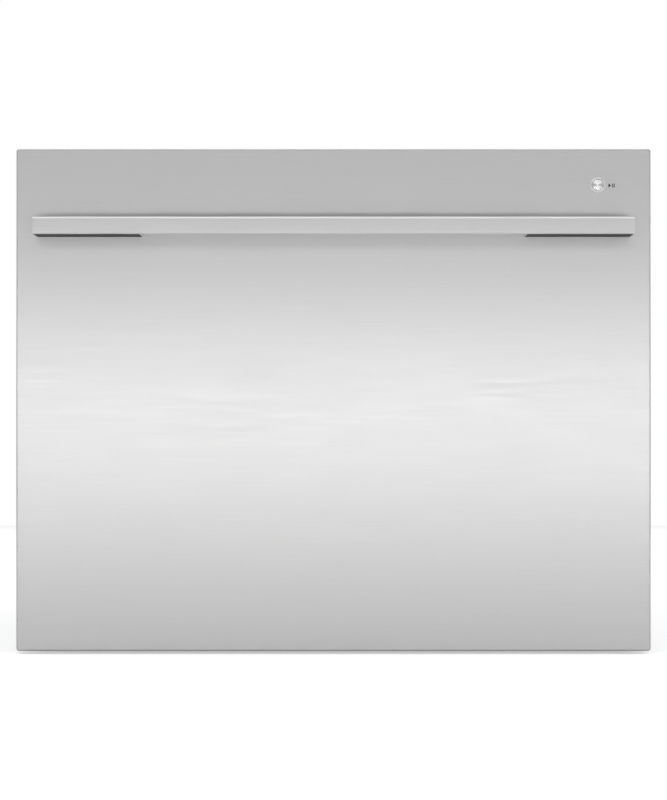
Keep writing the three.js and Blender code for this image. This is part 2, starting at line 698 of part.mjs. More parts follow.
drawer.add(
  piece("front_panel", frontPanel(), brushedSteel),
  piece("handle_bar", handleBar(), brushedSteel),
  piece("handle_mount_left", handleMount(-1), brushedSteel),
  piece("handle_mount_right", handleMount(1), brushedSteel),
  piece("start_button_bezel", buttonBezel(), buttonMetal),
  piece("start_button", startButton(), buttonMetal),
  piece("door_inner", doorInner(), greyTub),
  piece("control_strip", controlStrip(), darkPlastic),
  piece("drying_fan_rotor", fanRotor(), darkPlastic),
);
for (const [name, x] of KEYS) {
  const cap = piece(`${name}_button`, solid(key()), rackGrey);
  cap.position.set(x, KEY.y, STRIP.top - KEY.height / 2 + 0.4);
  drawer.add(cap);
}

// ---------------------------------------------------------------- tub
// A deep moulded tub with a lipped rim and a round hole in its floor for the sump.
// Four bosses carry the front, and a lug at the back holds the front arm of the hose link.
const DOOR_BOSS = { x: 200, lows: [120, 300], height: 50 };
const LINK_LUG = LINK.z + 2 * LINK.height + 4; // underside of the lug, over the front arm
function tub() {
  const half = TUB.width / 2;
  const { wall, corner, lip, floor, rim } = TUB;
  const ys = [TUB_FRONT_Y, TUB_BACK_Y];
  const shell = slab([-half, half], ys, [floor, rim - 1], corner);
  const lipYs = [ys[0] - lip, ys[1] + lip];
  const lipPlate = slab([-half - lip, half + lip], lipYs, [rim - wall, rim], corner + lip - 2);
  const inside = slab(
    [-half + wall, half - wall],
    [ys[0] + wall, ys[1] - wall],
    [floor + wall, rim + 1],
    corner - wall,
  );
  const collar = cylinder("z", WELL.flange, [WELL.ledgeTop + GAP, floor + 1], [0, TUB_Y], 32);
  const hole = cylinder("z", WELL.ledge, [WELL.ledgeTop, floor + wall + 1], [0, TUB_Y], 32);
  const bosses = [-DOOR_BOSS.x, DOOR_BOSS.x].flatMap((x) =>
    DOOR_BOSS.lows.map((z) =>
      block([x - 20, x + 20], [DOOR_BACK_Y + GAP, ys[0] + 1], [z, z + DOOR_BOSS.height]),
    ),
  );
  const lug = joined(
    block([LINK.x - 10, LINK.x + 12], [ys[1] - 16, LINK.tubY + 12], [LINK_LUG, LINK_LUG + 8]),
    cylinder("z", LINK.pin, [LINK.z + LINK.height + 2, LINK_LUG + 1], [LINK.x, LINK.tubY], 16),
  );
  const { halfWidth, bottom, top } = DISPENSER;
  const window = block([-halfWidth, halfWidth], [ys[0] - 1, ys[0] + wall + 1], [bottom, top]);
  return cut(joined(shell, lipPlate, collar, ...bosses, lug), inside, hole, window);
}

// The sump hangs under the tub's floor: a round well for the filter, and a cup for the pump's rotor.
function sump() {
  const centre = [0, TUB_Y];
  const { wall } = TUB;
  const { radius, flange, ledgeTop, floor, cup, cupFloor } = WELL;
  const bowl = joined(
    cylinder("z", flange, [ledgeTop - wall, ledgeTop], centre, 32),
    cylinder("z", radius + wall, [floor, ledgeTop - 1], centre, 32),
    cylinder("z", cup + wall, [cupFloor, floor + 1], centre),
  );
  return cut(
    bowl,
    cylinder("z", radius, [floor + wall, ledgeTop + 1], centre, 32),
    cylinder("z", cup, [cupFloor + wall, floor + wall + 1], centre),
  );
}

// ---------------------------------------------------------------- pump, filter and spray arm
// The motor's stator wraps the cup under the tub. Its rotor and the impeller turn inside the water.
const MOTOR = { radius: 72, bottom: 26, magnet: 36, hub: 8, top: 76, blades: 6 };
function motorHousing() {
  const centre = [0, TUB_Y];
  const { radius, bottom } = MOTOR;
  const body = cylinder("z", radius, [bottom, WELL.floor - GAP], centre);
  const terminal = block([-14, 14], [TUB_Y - radius - 16, TUB_Y - radius + 12], [bottom + 4, bottom + 22]);
  const cupSpace = cylinder("z", WELL.cup + TUB.wall + RUN, [bottom + 2, WELL.floor + 1], centre);
  return cut(joined(body, terminal), cupSpace);
}

function washRotor() {
  const centre = [0, TUB_Y];
  const { magnet, hub, top, blades } = MOTOR;
  const low = WELL.cupFloor + TUB.wall + 2;
  const shoulder = WELL.floor + 2;
  const impeller = Array.from({ length: blades }, (_, n) => {
    const blade = new THREE.BoxGeometry(magnet - hub, 3, top - shoulder);
    blade.translate((magnet + hub) / 2 - 2, 0, (top + shoulder) / 2 - 1);
    return solid(blade.rotateZ((n * 2 * Math.PI) / blades).translate(0, TUB_Y, 0));
  });
  return joined(
    cylinder("z", magnet, [low, shoulder], centre),
    cylinder("z", hub, [shoulder - 1, top], centre, 12),
    ...impeller,
  );
}

const FILTER = { x: 78, radius: 30, bottom: WELL.ledgeTop + GAP, top: WELL.ledgeTop + GAP + 3.5 };
const RISER = { radius: 15, bore: 10, top: 110 };
const SLOT = { length: 60, width: 5, radius: 78, places: 14 };

// A perforated plate covers the well. A hollow riser in its middle feeds the spray arm.
// Its slots fan out from the riser, all but the one on each side of the scrap basket's seat.
function filterPlate() {
  const centre = [0, TUB_Y];
  const { bottom, top } = FILTER;
  const plate = cylinder("z", WELL.ledge - RUN, [bottom, top], centre, 32);
  const riser = cylinder("z", RISER.radius, [bottom, RISER.top], centre, 20);
  const bore = cylinder("z", RISER.bore, [bottom - 1, RISER.top + 1], centre, 20);
  const seat = cylinder("z", FILTER.radius + GAP, [bottom - 1, top + 1], [FILTER.x, TUB_Y]);
  const slots = [];
  for (let n = 2; n < SLOT.places - 1; n++) {
    const slot = new THREE.BoxGeometry(SLOT.length, SLOT.width, 12).translate(SLOT.radius, 0, bottom);
    slots.push(solid(slot.rotateZ((n * 2 * Math.PI) / SLOT.places).translate(0, TUB_Y, 0)));
  }
  return cut(joined(plate, riser), bore, seat, ...slots);
}

// A lift-out basket that catches scraps, with a bar across it as a grip.
function drainFilter() {
  const { x, radius, top } = FILTER;
  const wall = 2;
  const bottom = WELL.floor + TUB.wall + 4 + GAP; // leaves room for a flat heater on the well's floor
  const cup = cylinder("z", radius, [bottom, top], [x, TUB_Y]);
  const hollow = cylinder("z", radius - wall, [bottom + wall, top + 1], [x, TUB_Y]);
  const grip = block([x - radius + 1, x + radius - 1], [TUB_Y - 3, TUB_Y + 3], [top - 8, top + 6]);
  return joined(cut(cup, hollow), grip);
}

// Two tapered arms sweep back from the hub, which turns on the riser.
function sprayArm() {
  const { reach, bottom, height, hub, root, tip, sweep } = SPRAY;
  const centre = [0, TUB_Y];
  const blade = new THREE.Shape();
  blade.moveTo(0, -root);
  blade.quadraticCurveTo(reach * 0.55, -root - sweep, reach - tip, -sweep - tip);
  blade.absarc(reach - tip, -sweep, tip, -Math.PI / 2, Math.PI / 2);
  blade.quadraticCurveTo(reach * 0.5, root, 0, root);
  const arms = [0, Math.PI].map((turn) => {
    const settings = { depth: height - 4, bevelEnabled: false, curveSegments: 4 };
    const arm = new THREE.ExtrudeGeometry(blade, settings).rotateZ(turn);
    return solid(arm.translate(0, TUB_Y, bottom + 2));
  });
  const body = joined(
    ...arms,
    cylinder("z", hub, [bottom - 6, bottom + height + 2], centre),
    cylinder("z", hub + 10, [bottom, bottom + height], centre),
  );
  const bore = cylinder("z", RISER.radius + RUN, [bottom - 7, RISER.top + 1.2], centre);
  return cut(body, bore);
}

drawer.add(
  piece("tub", tub(), greyTub),
  piece("sump", sump(), armGrey),
  piece("motor_housing", motorHousing(), darkPlastic),
  piece("wash_rotor", washRotor(), whitePlastic),
  piece("filter_plate", filterPlate(), armGrey),
  piece("drain_filter", drainFilter(), armGrey),
  piece("spray_arm", sprayArm(), armGrey),
);

// ---------------------------------------------------------------- racks
const wireSpan = (low, high, count) =>
  Array.from({ length: count }, (_, n) => low + ((high - low) * n) / (count - 1));

const CUP_RACK = { hinge: 240, z: 262, reach: 110, front: -180, back: 200, wire: 4.5 };

// The base rack is a welded wire basket. Each wall and the floor is a grid of its own, where the wires
// of the real basket run on from one to the next.
const RACK_MIDDLE = (RACK.rim + RACK.floor) / 2;
const RACK_UNDER = RACK.floor - RACK.wire + 0.5; // height of the wires welded under the cross wires
const ACROSS_YS = wireSpan(RACK.front + 30, RACK.back - 30, 7);
const ALONG_XS = wireSpan(30 - RACK.x, RACK.x - 30, 6);

// A quarter ring of square wire in a rack corner, joining a side wall to the front or the back.
function rackCorner(side, end, z, size) {
  const { x, corner } = RACK;
  const wallY = end < 0 ? RACK.front : RACK.back;
  const centre = [side * (x - corner), wallY - end * corner];
  const zs = [z - size / 2, z + size / 2];
  const ring = cut(
    cylinder("z", corner + size / 2, zs, centre, 16),
    cylinder("z", corner - size / 2, [zs[0] - 1, zs[1] + 1], centre, 16),
  );
  const reach = corner + size;
  const [cornerXs, cornerYs] = [side, end].map((way, n) => [centre[n], centre[n] + way * reach]);
  return ring.intersect(block(cornerXs, cornerYs, zs));
}

// A side wall has the legs of the basket, and clips on its rim for the cup rack.
function rackSide(side) {
  const { x, front, back, corner, rim, floor, wire: size, rimWire } = RACK;
  const wall = side * x;
  const ys = [front + corner - 0.5, back - corner + 0.5];
  const run = (z, thick) => wire([wall, ys[0] + thick / 2, z], [wall, ys[1] - thick / 2, z], thick);
  const uprights = ACROSS_YS.map((y) => wire([wall, y, floor], [wall, y, rim], size));
  const foot = FLOOR_TOP + GAP + size / 2;
  const legs = [ACROSS_YS[0], ACROSS_YS.at(-1)].map((y) => wire([wall, y, foot], [wall, y, floor], size));
  const corners = [-1, 1].flatMap((end) => [
    rackCorner(side, end, rim, rimWire),
    rackCorner(side, end, RACK_MIDDLE, size),
  ]);
  const clipTop = CUP_RACK.z - CUP_RACK.wire * Math.SQRT1_2 - GAP;
  const clips = [CUP_RACK.front + 60, CUP_RACK.back - 60].map((y) =>
    block([side * (CUP_RACK.hinge - 3), side * (x + 2)], [y - 6, y + 6], [rim - 1, clipTop]),
  );
  const runs = [run(rim, rimWire), run(RACK_MIDDLE, size), run(floor, size)];
  return joined(...runs, ...uprights, ...legs, ...corners, ...clips);
}

function rackEnd(y) {
  const { x, corner, rim, wire: size, rimWire } = RACK;
  const half = x - corner - GAP;
  const run = (z, thick) => wire([-half + thick / 2, y, z], [half - thick / 2, y, z], thick);
  const uprights = ALONG_XS.map((u) => wire([u, y, RACK_UNDER], [u, y, rim], size));
  return joined(run(rim, rimWire), run(RACK_MIDDLE, size), run(RACK_UNDER, size), ...uprights);
}

function rackFloor() {
  const { x, front, back, floor, wire: size } = RACK;
  const half = x - size - GAP; // clear of the side walls, and as far inside the front and the back
  const across = ACROSS_YS.map((y) => wire([-half, y, floor], [half, y, floor], size));
  const [near, far] = [front + size + GAP, back - size - GAP];
  const along = ALONG_XS.map((u) => wire([u, near, RACK_UNDER], [u, far, RACK_UNDER], size));
  return joined(...across, ...along);
}

const TINES = { low: -180, high: 108, count: 9, height: 76, z: 129.2, wire: 4, base: 5 };
const TINE_ROWS = [["front", -150], ["middle", -30], ["rear", 90]];

// A comb of upright tines on an axle that lies on the rack's floor.
function tineRow() {
  const axle = wire([TINES.low - 10, 0, 0], [TINES.high + 10, 0, 0], TINES.base);
  const tines = wireSpan(TINES.low, TINES.high, TINES.count).map((x) =>
    wire([x, 0, 0], [x, 0, TINES.height - TINES.wire / 2], TINES.wire),
  );
  return joined(axle, ...tines);
}

// A shelf for cups that folds up against the tub's side. It reaches from its hinge wire towards the middle.
function cupRack(side) {
  const { hinge, reach, front, back, z, wire: size } = CUP_RACK;
  const inner = side * (hinge - reach);
  const rungs = wireSpan(front, back, 6).map((y) => wire([side * hinge, y, z], [inner, y, z], size));
  const rails = [hinge, hinge - reach / 2, hinge - reach].map((x) =>
    wire([side * x, front, z], [side * x, back, z], size),
  );
  return joined(...rails, ...rungs);
}

const CUTLERY = { xs: [150, 235], ys: [-195, 25], zs: [127, 236], wall: 2.5, columns: 2, rows: 3 };

// The cutlery basket has six open pockets and a carrying handle.
function cutleryBasket() {
  const { xs, ys, zs, wall, columns, rows } = CUTLERY;
  const across = (xs[1] - xs[0] - (columns + 1) * wall) / columns;
  const along = (ys[1] - ys[0] - (rows + 1) * wall) / rows;
  let basket = block(xs, ys, zs);
  for (let i = 0; i < columns; i++)
    for (let j = 0; j < rows; j++) {
      const x = xs[0] + wall + i * (across + wall);
      const y = ys[0] + wall + j * (along + wall);
      basket = cut(basket, block([x, x + across], [y, y + along], [zs[0] + wall, zs[1] + 1]));
    }
  // The grip is as thick as the middle wall that it stands on, so the pockets stay clear.
  const x = (xs[0] + xs[1]) / 2;
  const gripXs = [x - wall / 2, x + wall / 2];
  const [front, back] = [ys[0] + 60, ys[1] - 60];
  const top = zs[1] + 19;
  return joined(
    basket,
    block(gripXs, [front, front + 6], [zs[1] - 4, top - 3]),
    block(gripXs, [back - 6, back], [zs[1] - 4, top - 3]),
    block(gripXs, [front, back], [top - 7, top]),
  );
}

drawer.add(
  piece("base_rack_left", rackSide(-1), rackGrey),
  piece("base_rack_right", rackSide(1), rackGrey),
  piece("base_rack_front", rackEnd(RACK.front), rackGrey),
  piece("base_rack_back", rackEnd(RACK.back), rackGrey),
  piece("base_rack_floor", rackFloor(), rackGrey),
  piece("cup_rack_left", cupRack(-1), rackGrey),
  piece("cup_rack_right", cupRack(1), rackGrey),
  piece("cutlery_basket", cutleryBasket(), armGrey),
);
for (const [place, y] of TINE_ROWS) {
  const row = piece(`tine_row_${place}`, tineRow(), rackGrey);
  row.position.set(0, y, TINES.z);
  drawer.add(row);
}

// ---------------------------------------------------------------- dispenser
const TUB_FACE_Y = TUB_FRONT_Y + TUB.wall; // inside of the tub's front wall
const CUP = { xs: [-64, -10], zs: [310, 370], depth: 24 };
const FLAP = { xs: [-68, -6], zs: [304, 376], thickness: 4 };
const CAP = { x: 36, z: 340, radius: 17 };
const FLANGE = [TUB_FACE_Y + GAP, TUB_FACE_Y + GAP + 4];

// The dispenser sits in a hole in the tub's front wall, with the detergent cup on the left.
function dispenserBody() {
  const { halfWidth, bottom, top, front, flange } = DISPENSER;
  const bulk = block([-halfWidth + GAP, halfWidth - GAP], [front, FLANGE[1] - 1], [bottom + GAP, top - GAP]);
  const face = roundedRect([-halfWidth - flange, halfWidth + flange], [bottom - flange, top + flange], 8);
  const plate = extruded("y", face, FLANGE, 3);
  const cup = block(CUP.xs, [FLANGE[1] - CUP.depth, FLANGE[1] + 1], CUP.zs);
  return cut(joined(bulk, plate), cup);
}

// The flap swings open downwards about its lower edge.
function detergentFlap() {
  const from = FLANGE[1] + GAP;
  const top = FLAP.zs[1];
  const middle = (FLAP.xs[0] + FLAP.xs[1]) / 2;
  const panel = extruded("y", roundedRect(FLAP.xs, FLAP.zs, 2), [from, from + FLAP.thickness], 2);
  const tab = block([middle - 6, middle + 6], [from + 1, from + FLAP.thickness + 3], [top - 10, top - 4]);
  return joined(panel, tab);
}

// The rinse aid's cap is a disc with a bar to turn it by.
function rinseCap() {
  const from = FLANGE[1] + GAP;
  const { x, z, radius } = CAP;
  const disc = cylinder("y", radius, [from, from + 4], [x, z]);
  const bar = block([x - radius + 2, x + radius - 2], [from + 3, from + 10], [z - 3, z + 3]);
  return joined(disc, bar);
}

drawer.add(
  piece("detergent_dispenser", dispenserBody(), greyLid),
  piece("detergent_flap", detergentFlap(), greyLid),
  piece("rinse_aid_cap", rinseCap(), armGrey),
);

export default machine;
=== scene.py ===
import math

import bmesh
import bpy
from mathutils import Matrix, Vector


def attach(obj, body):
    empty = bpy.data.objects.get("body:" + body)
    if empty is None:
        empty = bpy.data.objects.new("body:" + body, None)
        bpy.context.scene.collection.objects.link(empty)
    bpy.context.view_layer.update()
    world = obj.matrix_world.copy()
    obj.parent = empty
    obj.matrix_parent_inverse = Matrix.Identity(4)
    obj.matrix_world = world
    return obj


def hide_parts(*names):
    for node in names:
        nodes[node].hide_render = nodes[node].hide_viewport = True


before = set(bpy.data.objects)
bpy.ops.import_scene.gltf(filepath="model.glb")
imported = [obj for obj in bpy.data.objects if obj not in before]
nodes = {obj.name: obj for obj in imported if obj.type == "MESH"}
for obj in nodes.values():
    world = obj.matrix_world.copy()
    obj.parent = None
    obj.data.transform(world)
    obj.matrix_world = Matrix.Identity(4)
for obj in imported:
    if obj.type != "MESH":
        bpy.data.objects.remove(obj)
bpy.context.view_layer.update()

# ---------------------------------------------------------------- studio
# A white studio: the camera looks square on at the middle of the steel front from 2.6 m away.
# Bands of light hang in front, as long softboxes would: the strongest level with the middle of
# the front, so that the light falls off above and below it. Two more hang over the front and bar.
MM = 0.001
PHOTO_HEIGHT = 800
SENSOR = 36.0
PIXEL = 599 / 634.5  # millimetres of steel front to a pixel of the photograph
DISTANCE = 2600
FRONT_MIDDLE = 240
FACE_Y = -264.5  # the steel face, in millimetres
scene = bpy.context.scene


def linear(code):
    """An sRGB hex colour as the linear RGBA that a shader takes."""
    channels = [int(code[i : i + 2], 16) / 255 for i in (1, 3, 5)]
    return [c / 12.92 if c <= 0.04045 else ((c + 0.055) / 1.055) ** 2.4 for c in channels] + [1.0]


def node(tree, kind, settings=None, links=None):
    """Adds a shader node, with its properties, its input values and what feeds its inputs."""
    made = tree.nodes.new(kind)
    for key, value in (settings or {}).items():
        if isinstance(key, int) or key in made.inputs:
            made.inputs[key].default_value = value
        else:
            setattr(made, key, value)
    for key, source in (links or {}).items():
        tree.links.new(source, made.inputs[key])
    return made


camera_data = bpy.data.cameras.new("camera")
camera_data.sensor_width = SENSOR
camera_data.lens = SENSOR * DISTANCE / (PHOTO_HEIGHT * PIXEL)
camera_data.clip_end = 50  # metres
camera = bpy.data.objects.new("camera", camera_data)
camera.location = (0, (FACE_Y - DISTANCE) * MM, FRONT_MIDDLE * MM)
camera.rotation_euler = (math.radians(90), 0, 0)
scene.collection.objects.link(camera)
scene.camera = camera
scene.view_settings.view_transform = "Standard"

world = bpy.data.worlds.new("white_studio")
world.use_nodes = True
scene.world = world
sky = world.node_tree
sky.nodes.clear()
# The walls are dim at the height of the machine and brighter towards the ceiling. Inputs 1 and 2
# of a Map Range node are the range that comes in, and 3 and 4 the range that goes out.
WALL_GLOW, CEILING_GLOW, CEILING_HEIGHT = 0.25, 0.5, 0.7
walls = node(sky, "ShaderNodeTexCoord").outputs["Generated"]
height = node(sky, "ShaderNodeSeparateXYZ", links={0: walls}).outputs["Z"]
glow_range = {1: 0.0, 2: CEILING_HEIGHT, 3: WALL_GLOW, 4: CEILING_GLOW}
glow = node(sky, "ShaderNodeMapRange", glow_range, {0: height})
seen = node(sky, "ShaderNodeLightPath").outputs["Is Camera Ray"]
lit = node(sky, "ShaderNodeBackground", links={1: glow.outputs[0]})
plain = node(sky, "ShaderNodeBackground", {0: (1, 1, 1, 1), 1: 1.0})
mixed = node(sky, "ShaderNodeMixShader", links={0: seen, 1: lit.outputs[0], 2: plain.outputs[0]})
node(sky, "ShaderNodeOutputWorld", links={0: mixed.outputs[0]})

# Each light has its middle and its size in millimetres, its turn in degrees, and its watts.
LIGHTS = [
    ("front_band", (0, -1500, 232), (90, 0, 0), (3000, 110), 5.1),
    ("low_band", (0, -1500, 60), (90, 0, 0), (3000, 110), 0.55),
    ("high_band", (0, -1500, 720), (90, 0, 0), (3000, 200), 2.2),
    ("over_front", (0, -900, 1500), (35, 0, 0), (1800, 700), 2.2),
    ("over_bar", (0, -350, 1500), (0, 0, 0), (1800, 300), 3),
    ("left_side", (-2000, 300, 900), (75, 0, -90), (1600, 1200), 6),
    ("right_side", (2000, 300, 900), (75, 0, 90), (1600, 1200), 7),
    ("behind", (0, 2200, 1100), (75, 0, 180), (2200, 1200), 8),
]
for name, place, turn, size, watts in LIGHTS:
    data = bpy.data.lights.new(name, "AREA")
    data.shape = "RECTANGLE"
    data.size, data.size_y = (side * MM for side in size)
    data.energy = watts
    lamp = bpy.data.objects.new(name, data)
    lamp.location = [v * MM for v in place]
    lamp.rotation_euler = [math.radians(angle) for angle in turn]
    lamp.visible_camera = False
    scene.collection.objects.link(lamp)

FLOOR_HALF, PAPER_GLOW = 2.4, 0.5  # metres from the middle to an edge, and emission strength
floor_mesh = bpy.data.meshes.new("floor")
floor_shape = bmesh.new()
bmesh.ops.create_grid(floor_shape, x_segments=1, y_segments=1, size=FLOOR_HALF)
floor_shape.to_mesh(floor_mesh)
floor_shape.free()
floor = bpy.data.objects.new("floor", floor_mesh)
scene.collection.objects.link(floor)
paper = bpy.data.materials.new("white_studio_floor")
paper.use_nodes = True
paper_shader = paper.node_tree.nodes["Principled BSDF"]
paper_shader.inputs["Base Color"].default_value = linear("#F4F4F4")
paper_shader.inputs["Roughness"].default_value = 0.9
paper_shader.inputs["Emission Color"].default_value = linear("#FFFFFF")
# To the camera the paper is as white as the wall behind the machine.
paper_seen = node(paper.node_tree, "ShaderNodeLightPath").outputs["Is Camera Ray"]
glow_settings = {"operation": "MULTIPLY", 1: PAPER_GLOW}
paper_glow = node(paper.node_tree, "ShaderNodeMath", glow_settings, {0: paper_seen})
paper.node_tree.links.new(paper_glow.outputs[0], paper_shader.inputs["Emission Strength"])
floor_mesh.materials.append(paper)


# ---------------------------------------------------------------- steel front
# The front is one pressed pan of brushed stainless steel, 599 by 474 mm and 1.2 mm thick.
# Its four edges are turned back on a small radius. The top return is narrow, to leave room
# for the keys behind it, and a round hole takes the start button.
def finish(name, code, roughness, metallic=0.0):
    """A new material with its Principled shader and the object coordinates its patterns read."""
    material = bpy.data.materials.new(name)
    material.use_nodes = True
    tree = material.node_tree
    shader = tree.nodes["Principled BSDF"]
    shader.inputs["Base Color"].default_value = linear(code)
    shader.inputs["Roughness"].default_value = roughness
    shader.inputs["Metallic"].default_value = metallic
    place = node(tree, "ShaderNodeTexCoord").outputs["Object"]
    return material, tree, shader, place


def vary(tree, shader, relief, colour=None, gloss=None):
    """Lets patterns drive a finish: its height, its colour and its gloss.

    The relief is (strength, depth in millimetres, pattern), the colour (light, dark, pattern) and
    the gloss (pattern's low, pattern's high, roughness at low, roughness at high, pattern).
    """
    strength, depth, pattern = relief
    heights = {"Strength": strength, "Distance": depth * MM}
    bump = node(tree, "ShaderNodeBump", heights, {"Height": pattern})
    tree.links.new(bump.outputs[0], shader.inputs["Normal"])
    if colour:
        light, dark, pattern = colour
        ends = {"data_type": "RGBA", 6: light, 7: dark}
        tone = node(tree, "ShaderNodeMix", ends, {0: pattern})
        tree.links.new(tone.outputs[2], shader.inputs["Base Color"])
    if gloss:
        *ends, pattern = gloss
        sheen = node(tree, "ShaderNodeMapRange", dict(enumerate(ends, 1)), {0: pattern})
        tree.links.new(sheen.outputs[0], shader.inputs["Roughness"])


def brushed(name, light, dark, roughness, grain, depth):
    """Brushed metal: long fine scratches along X that vary its colour, gloss and height."""
    material, tree, shader, place = finish(name, light, roughness, 1.0)
    lines = node(tree, "ShaderNodeMapping", {"Scale": grain}, {"Vector": place})
    scratch = {"Scale": 1.0, "Detail": 5.0, "Roughness": 0.65}
    scratches = node(tree, "ShaderNodeTexNoise", scratch, {0: lines.outputs[0]}).outputs["Fac"]
    vary(
        tree,
        shader,
        (0.25, depth, scratches),
        (linear(light), linear(dark), scratches),
        (0.3, 0.7, roughness - 0.03, roughness + 0.05, scratches),
    )
    return material


# Scratches of about 0.2 mm are too fine to show, so they are drawn about 1 mm high and 60 mm long.
SCRATCHES = (16, 16, 900)  # per metre along each axis
brushed_stainless = brushed(
    "brushed_stainless_steel", "#CDCDCD", "#C5C5C5", 0.33, SCRATCHES, 0.03
)


def block(bm, xs, ys, zs):
    """A rectangular block between two planes on each axis."""
    spans = (xs, ys, zs)
    middle = Vector([(a + b) / 2 for a, b in spans])
    size = Vector([abs(b - a) for a, b in spans])
    return bmesh.ops.create_cube(bm, size=1, matrix=Matrix.LocRotScale(middle, None, size))["verts"]


# A sheet drawn in X and Y stands up, with its Y along Z and its face towards -Y.
UPRIGHT = Matrix.Rotation(math.radians(90), 4, "X")


def spanning(xs, ys):
    """The place of a unit square that is to fill two spans in X and Y."""
    size = Vector((abs(xs[1] - xs[0]), abs(ys[1] - ys[0]), 1))
    return Matrix.LocRotScale(Vector((sum(xs) / 2, sum(ys) / 2, 0)), None, size)


def plate(bm, xs, ys, radius=0, steps=6, place=None):
    """One flat face with rounded corners, drawn in X and Y and then put in place."""
    verts = bmesh.ops.create_grid(
        bm, x_segments=1, y_segments=1, size=0.5, matrix=spanning(xs, ys)
    )["verts"]
    if radius:
        verts = bmesh.ops.bevel(
            bm,
            geom=verts,
            offset=radius,
            offset_type="OFFSET",
            segments=steps,
            profile=0.5,
            affect="VERTICES",
            material=-1,
        )["verts"]
    face = verts[0].link_faces[0]
    if place is not None:
        bmesh.ops.transform(bm, matrix=place, verts=face.verts[:])
    return face


def soften(bm, radius, segments=2, edges=None, sharper=30):
    """Rounds the given edges, or every edge that turns by more than an angle in degrees."""
    if edges is None:
        limit = math.radians(sharper)
        edges = [e for e in bm.edges if len(e.link_faces) == 2 and e.calc_face_angle(0) > limit]
    bmesh.ops.bevel(
        bm,
        geom=edges,
        offset=radius,
        offset_type="OFFSET",
        segments=segments,
        profile=0.5,
        affect="EDGES",
        clamp_overlap=True,
        material=-1,
    )


def make(name, bm, look, body, stands_for=(), crease=35, wall=0, outward=-1):
    """Turns a shape drawn in millimetres into a piece at the origin that rides on a body.

    A wall grows inwards from the shape at outward -1, to both sides at 0 and outwards at 1.
    """
    bmesh.ops.scale(bm, vec=(MM, MM, MM), verts=bm.verts)
    bmesh.ops.remove_doubles(bm, verts=bm.verts, dist=1e-6)
    bmesh.ops.recalc_face_normals(bm, faces=bm.faces)
    mesh = bpy.data.meshes.new(name)
    bm.to_mesh(mesh)
    bm.free()
    mesh.materials.append(look)
    piece = bpy.data.objects.new(name, mesh)
    scene.collection.objects.link(piece)
    if wall:
        shell = piece.modifiers.new("wall", "SOLIDIFY")
        shell.thickness = wall * MM
        shell.offset = outward
        shell.use_even_offset = True
    settle(piece, crease)
    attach(piece, body)
    if stands_for:
        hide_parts(*stands_for)
    return piece


def settle(piece, crease=35):
    """Keeps what the modifiers made as the piece's own mesh, smooth up to an angle."""
    if piece.modifiers:
        bpy.context.view_layer.update()
        seen = piece.evaluated_get(bpy.context.evaluated_depsgraph_get())
        result = bpy.data.meshes.new_from_object(seen)
        piece.modifiers.clear()
        piece.data = result
        result.name = piece.name
    piece.data.shade_smooth()
    piece.data.set_sharp_from_angle(angle=math.radians(crease))
    flatten(piece)


def flatten(piece):
    """Keeps flat faces flat to the eye where a small rounding meets them."""
    normals = piece.modifiers.new("flat_faces", "WEIGHTED_NORMAL")
    normals.keep_sharp = True
    normals.weight = 100


def cut_away(piece, tool):
    """Cuts one piece with another shape and keeps the result as the piece's own mesh."""
    cutter = bpy.data.objects.new("cutter", bpy.data.meshes.new("cutter"))
    bmesh.ops.scale(tool, vec=(MM, MM, MM), verts=tool.verts)
    bmesh.ops.recalc_face_normals(tool, faces=tool.faces)
    tool.to_mesh(cutter.data)
    tool.free()
    scene.collection.objects.link(cutter)
    piece.modifiers.clear()
    cut = piece.modifiers.new("cut", "BOOLEAN")
    cut.object = cutter
    cut.operation = "DIFFERENCE"
    cut.solver = "EXACT"
    settle(piece)
    bpy.data.objects.remove(cutter)


FRONT = {
    "half": 299.5, "low": 3, "high": 477, "depth": 22, "sheet": 1.2, "corner": 2.5, "edge": 1.5
}
TOP_RETURN = 6
BUTTON = {"x": 249.3, "z": 443, "ring": 7.1, "bore": 5.6, "radius": 5.3, "proud": 0.8}


def only(geom, kind):
    """What is of one kind, vertices or edges, among what an operator made."""
    return [g for g in geom if isinstance(g, kind)]


pan = bmesh.new()
outline = plate(
    pan,
    (-FRONT["half"], FRONT["half"]),
    (FRONT["low"], FRONT["high"]),
    FRONT["corner"],
    place=Matrix.Translation((0, FACE_Y, 0)) @ UPRIGHT,
)
face_edges = rim = outline.edges[:]
# The returns are drawn in two steps, so that the top one can stop short.
for step in (TOP_RETURN, FRONT["depth"] - TOP_RETURN):
    made = bmesh.ops.extrude_edge_only(pan, edges=rim)["geom"]
    bmesh.ops.translate(pan, vec=(0, step, 0), verts=only(made, bmesh.types.BMVert))
    rim = only(made, bmesh.types.BMEdge)
pan.normal_update()
spare = []
for face in pan.faces:
    middle = face.calc_center_median()
    if middle.y > FACE_Y + TOP_RETURN and middle.z > FRONT["high"] - 0.01:
        spare.append(face)
bmesh.ops.delete(pan, geom=spare, context="FACES")
soften(pan, FRONT["edge"], 4, face_edges)
front = make(
    "steel_front",
    pan,
    brushed_stainless,
    "drawer",
    ["front_panel"],
    wall=FRONT["sheet"],
)
hole = bmesh.new()
bmesh.ops.create_cone(
    hole,
    cap_ends=True,
    segments=48,
    radius1=BUTTON["ring"] - 0.5,
    radius2=BUTTON["ring"] - 0.5,
    depth=10,
    matrix=Matrix.Translation((BUTTON["x"], FACE_Y, BUTTON["z"])) @ UPRIGHT,
)
cut_away(front, hole)

# ---------------------------------------------------------------- handle
# A flat bar of the same steel, 560 mm long, with its top edge broken. It stands 44 mm proud
# on two solid feet, 100 mm long, which are bolted through the front from inside.
SIDES = ((-1, "left"), (1, "right"))


def deeper(code, share):
    """The linear colour of a code, darkened by a share."""
    return [channel * (1 - share) for channel in linear(code)[:3]] + [1.0]


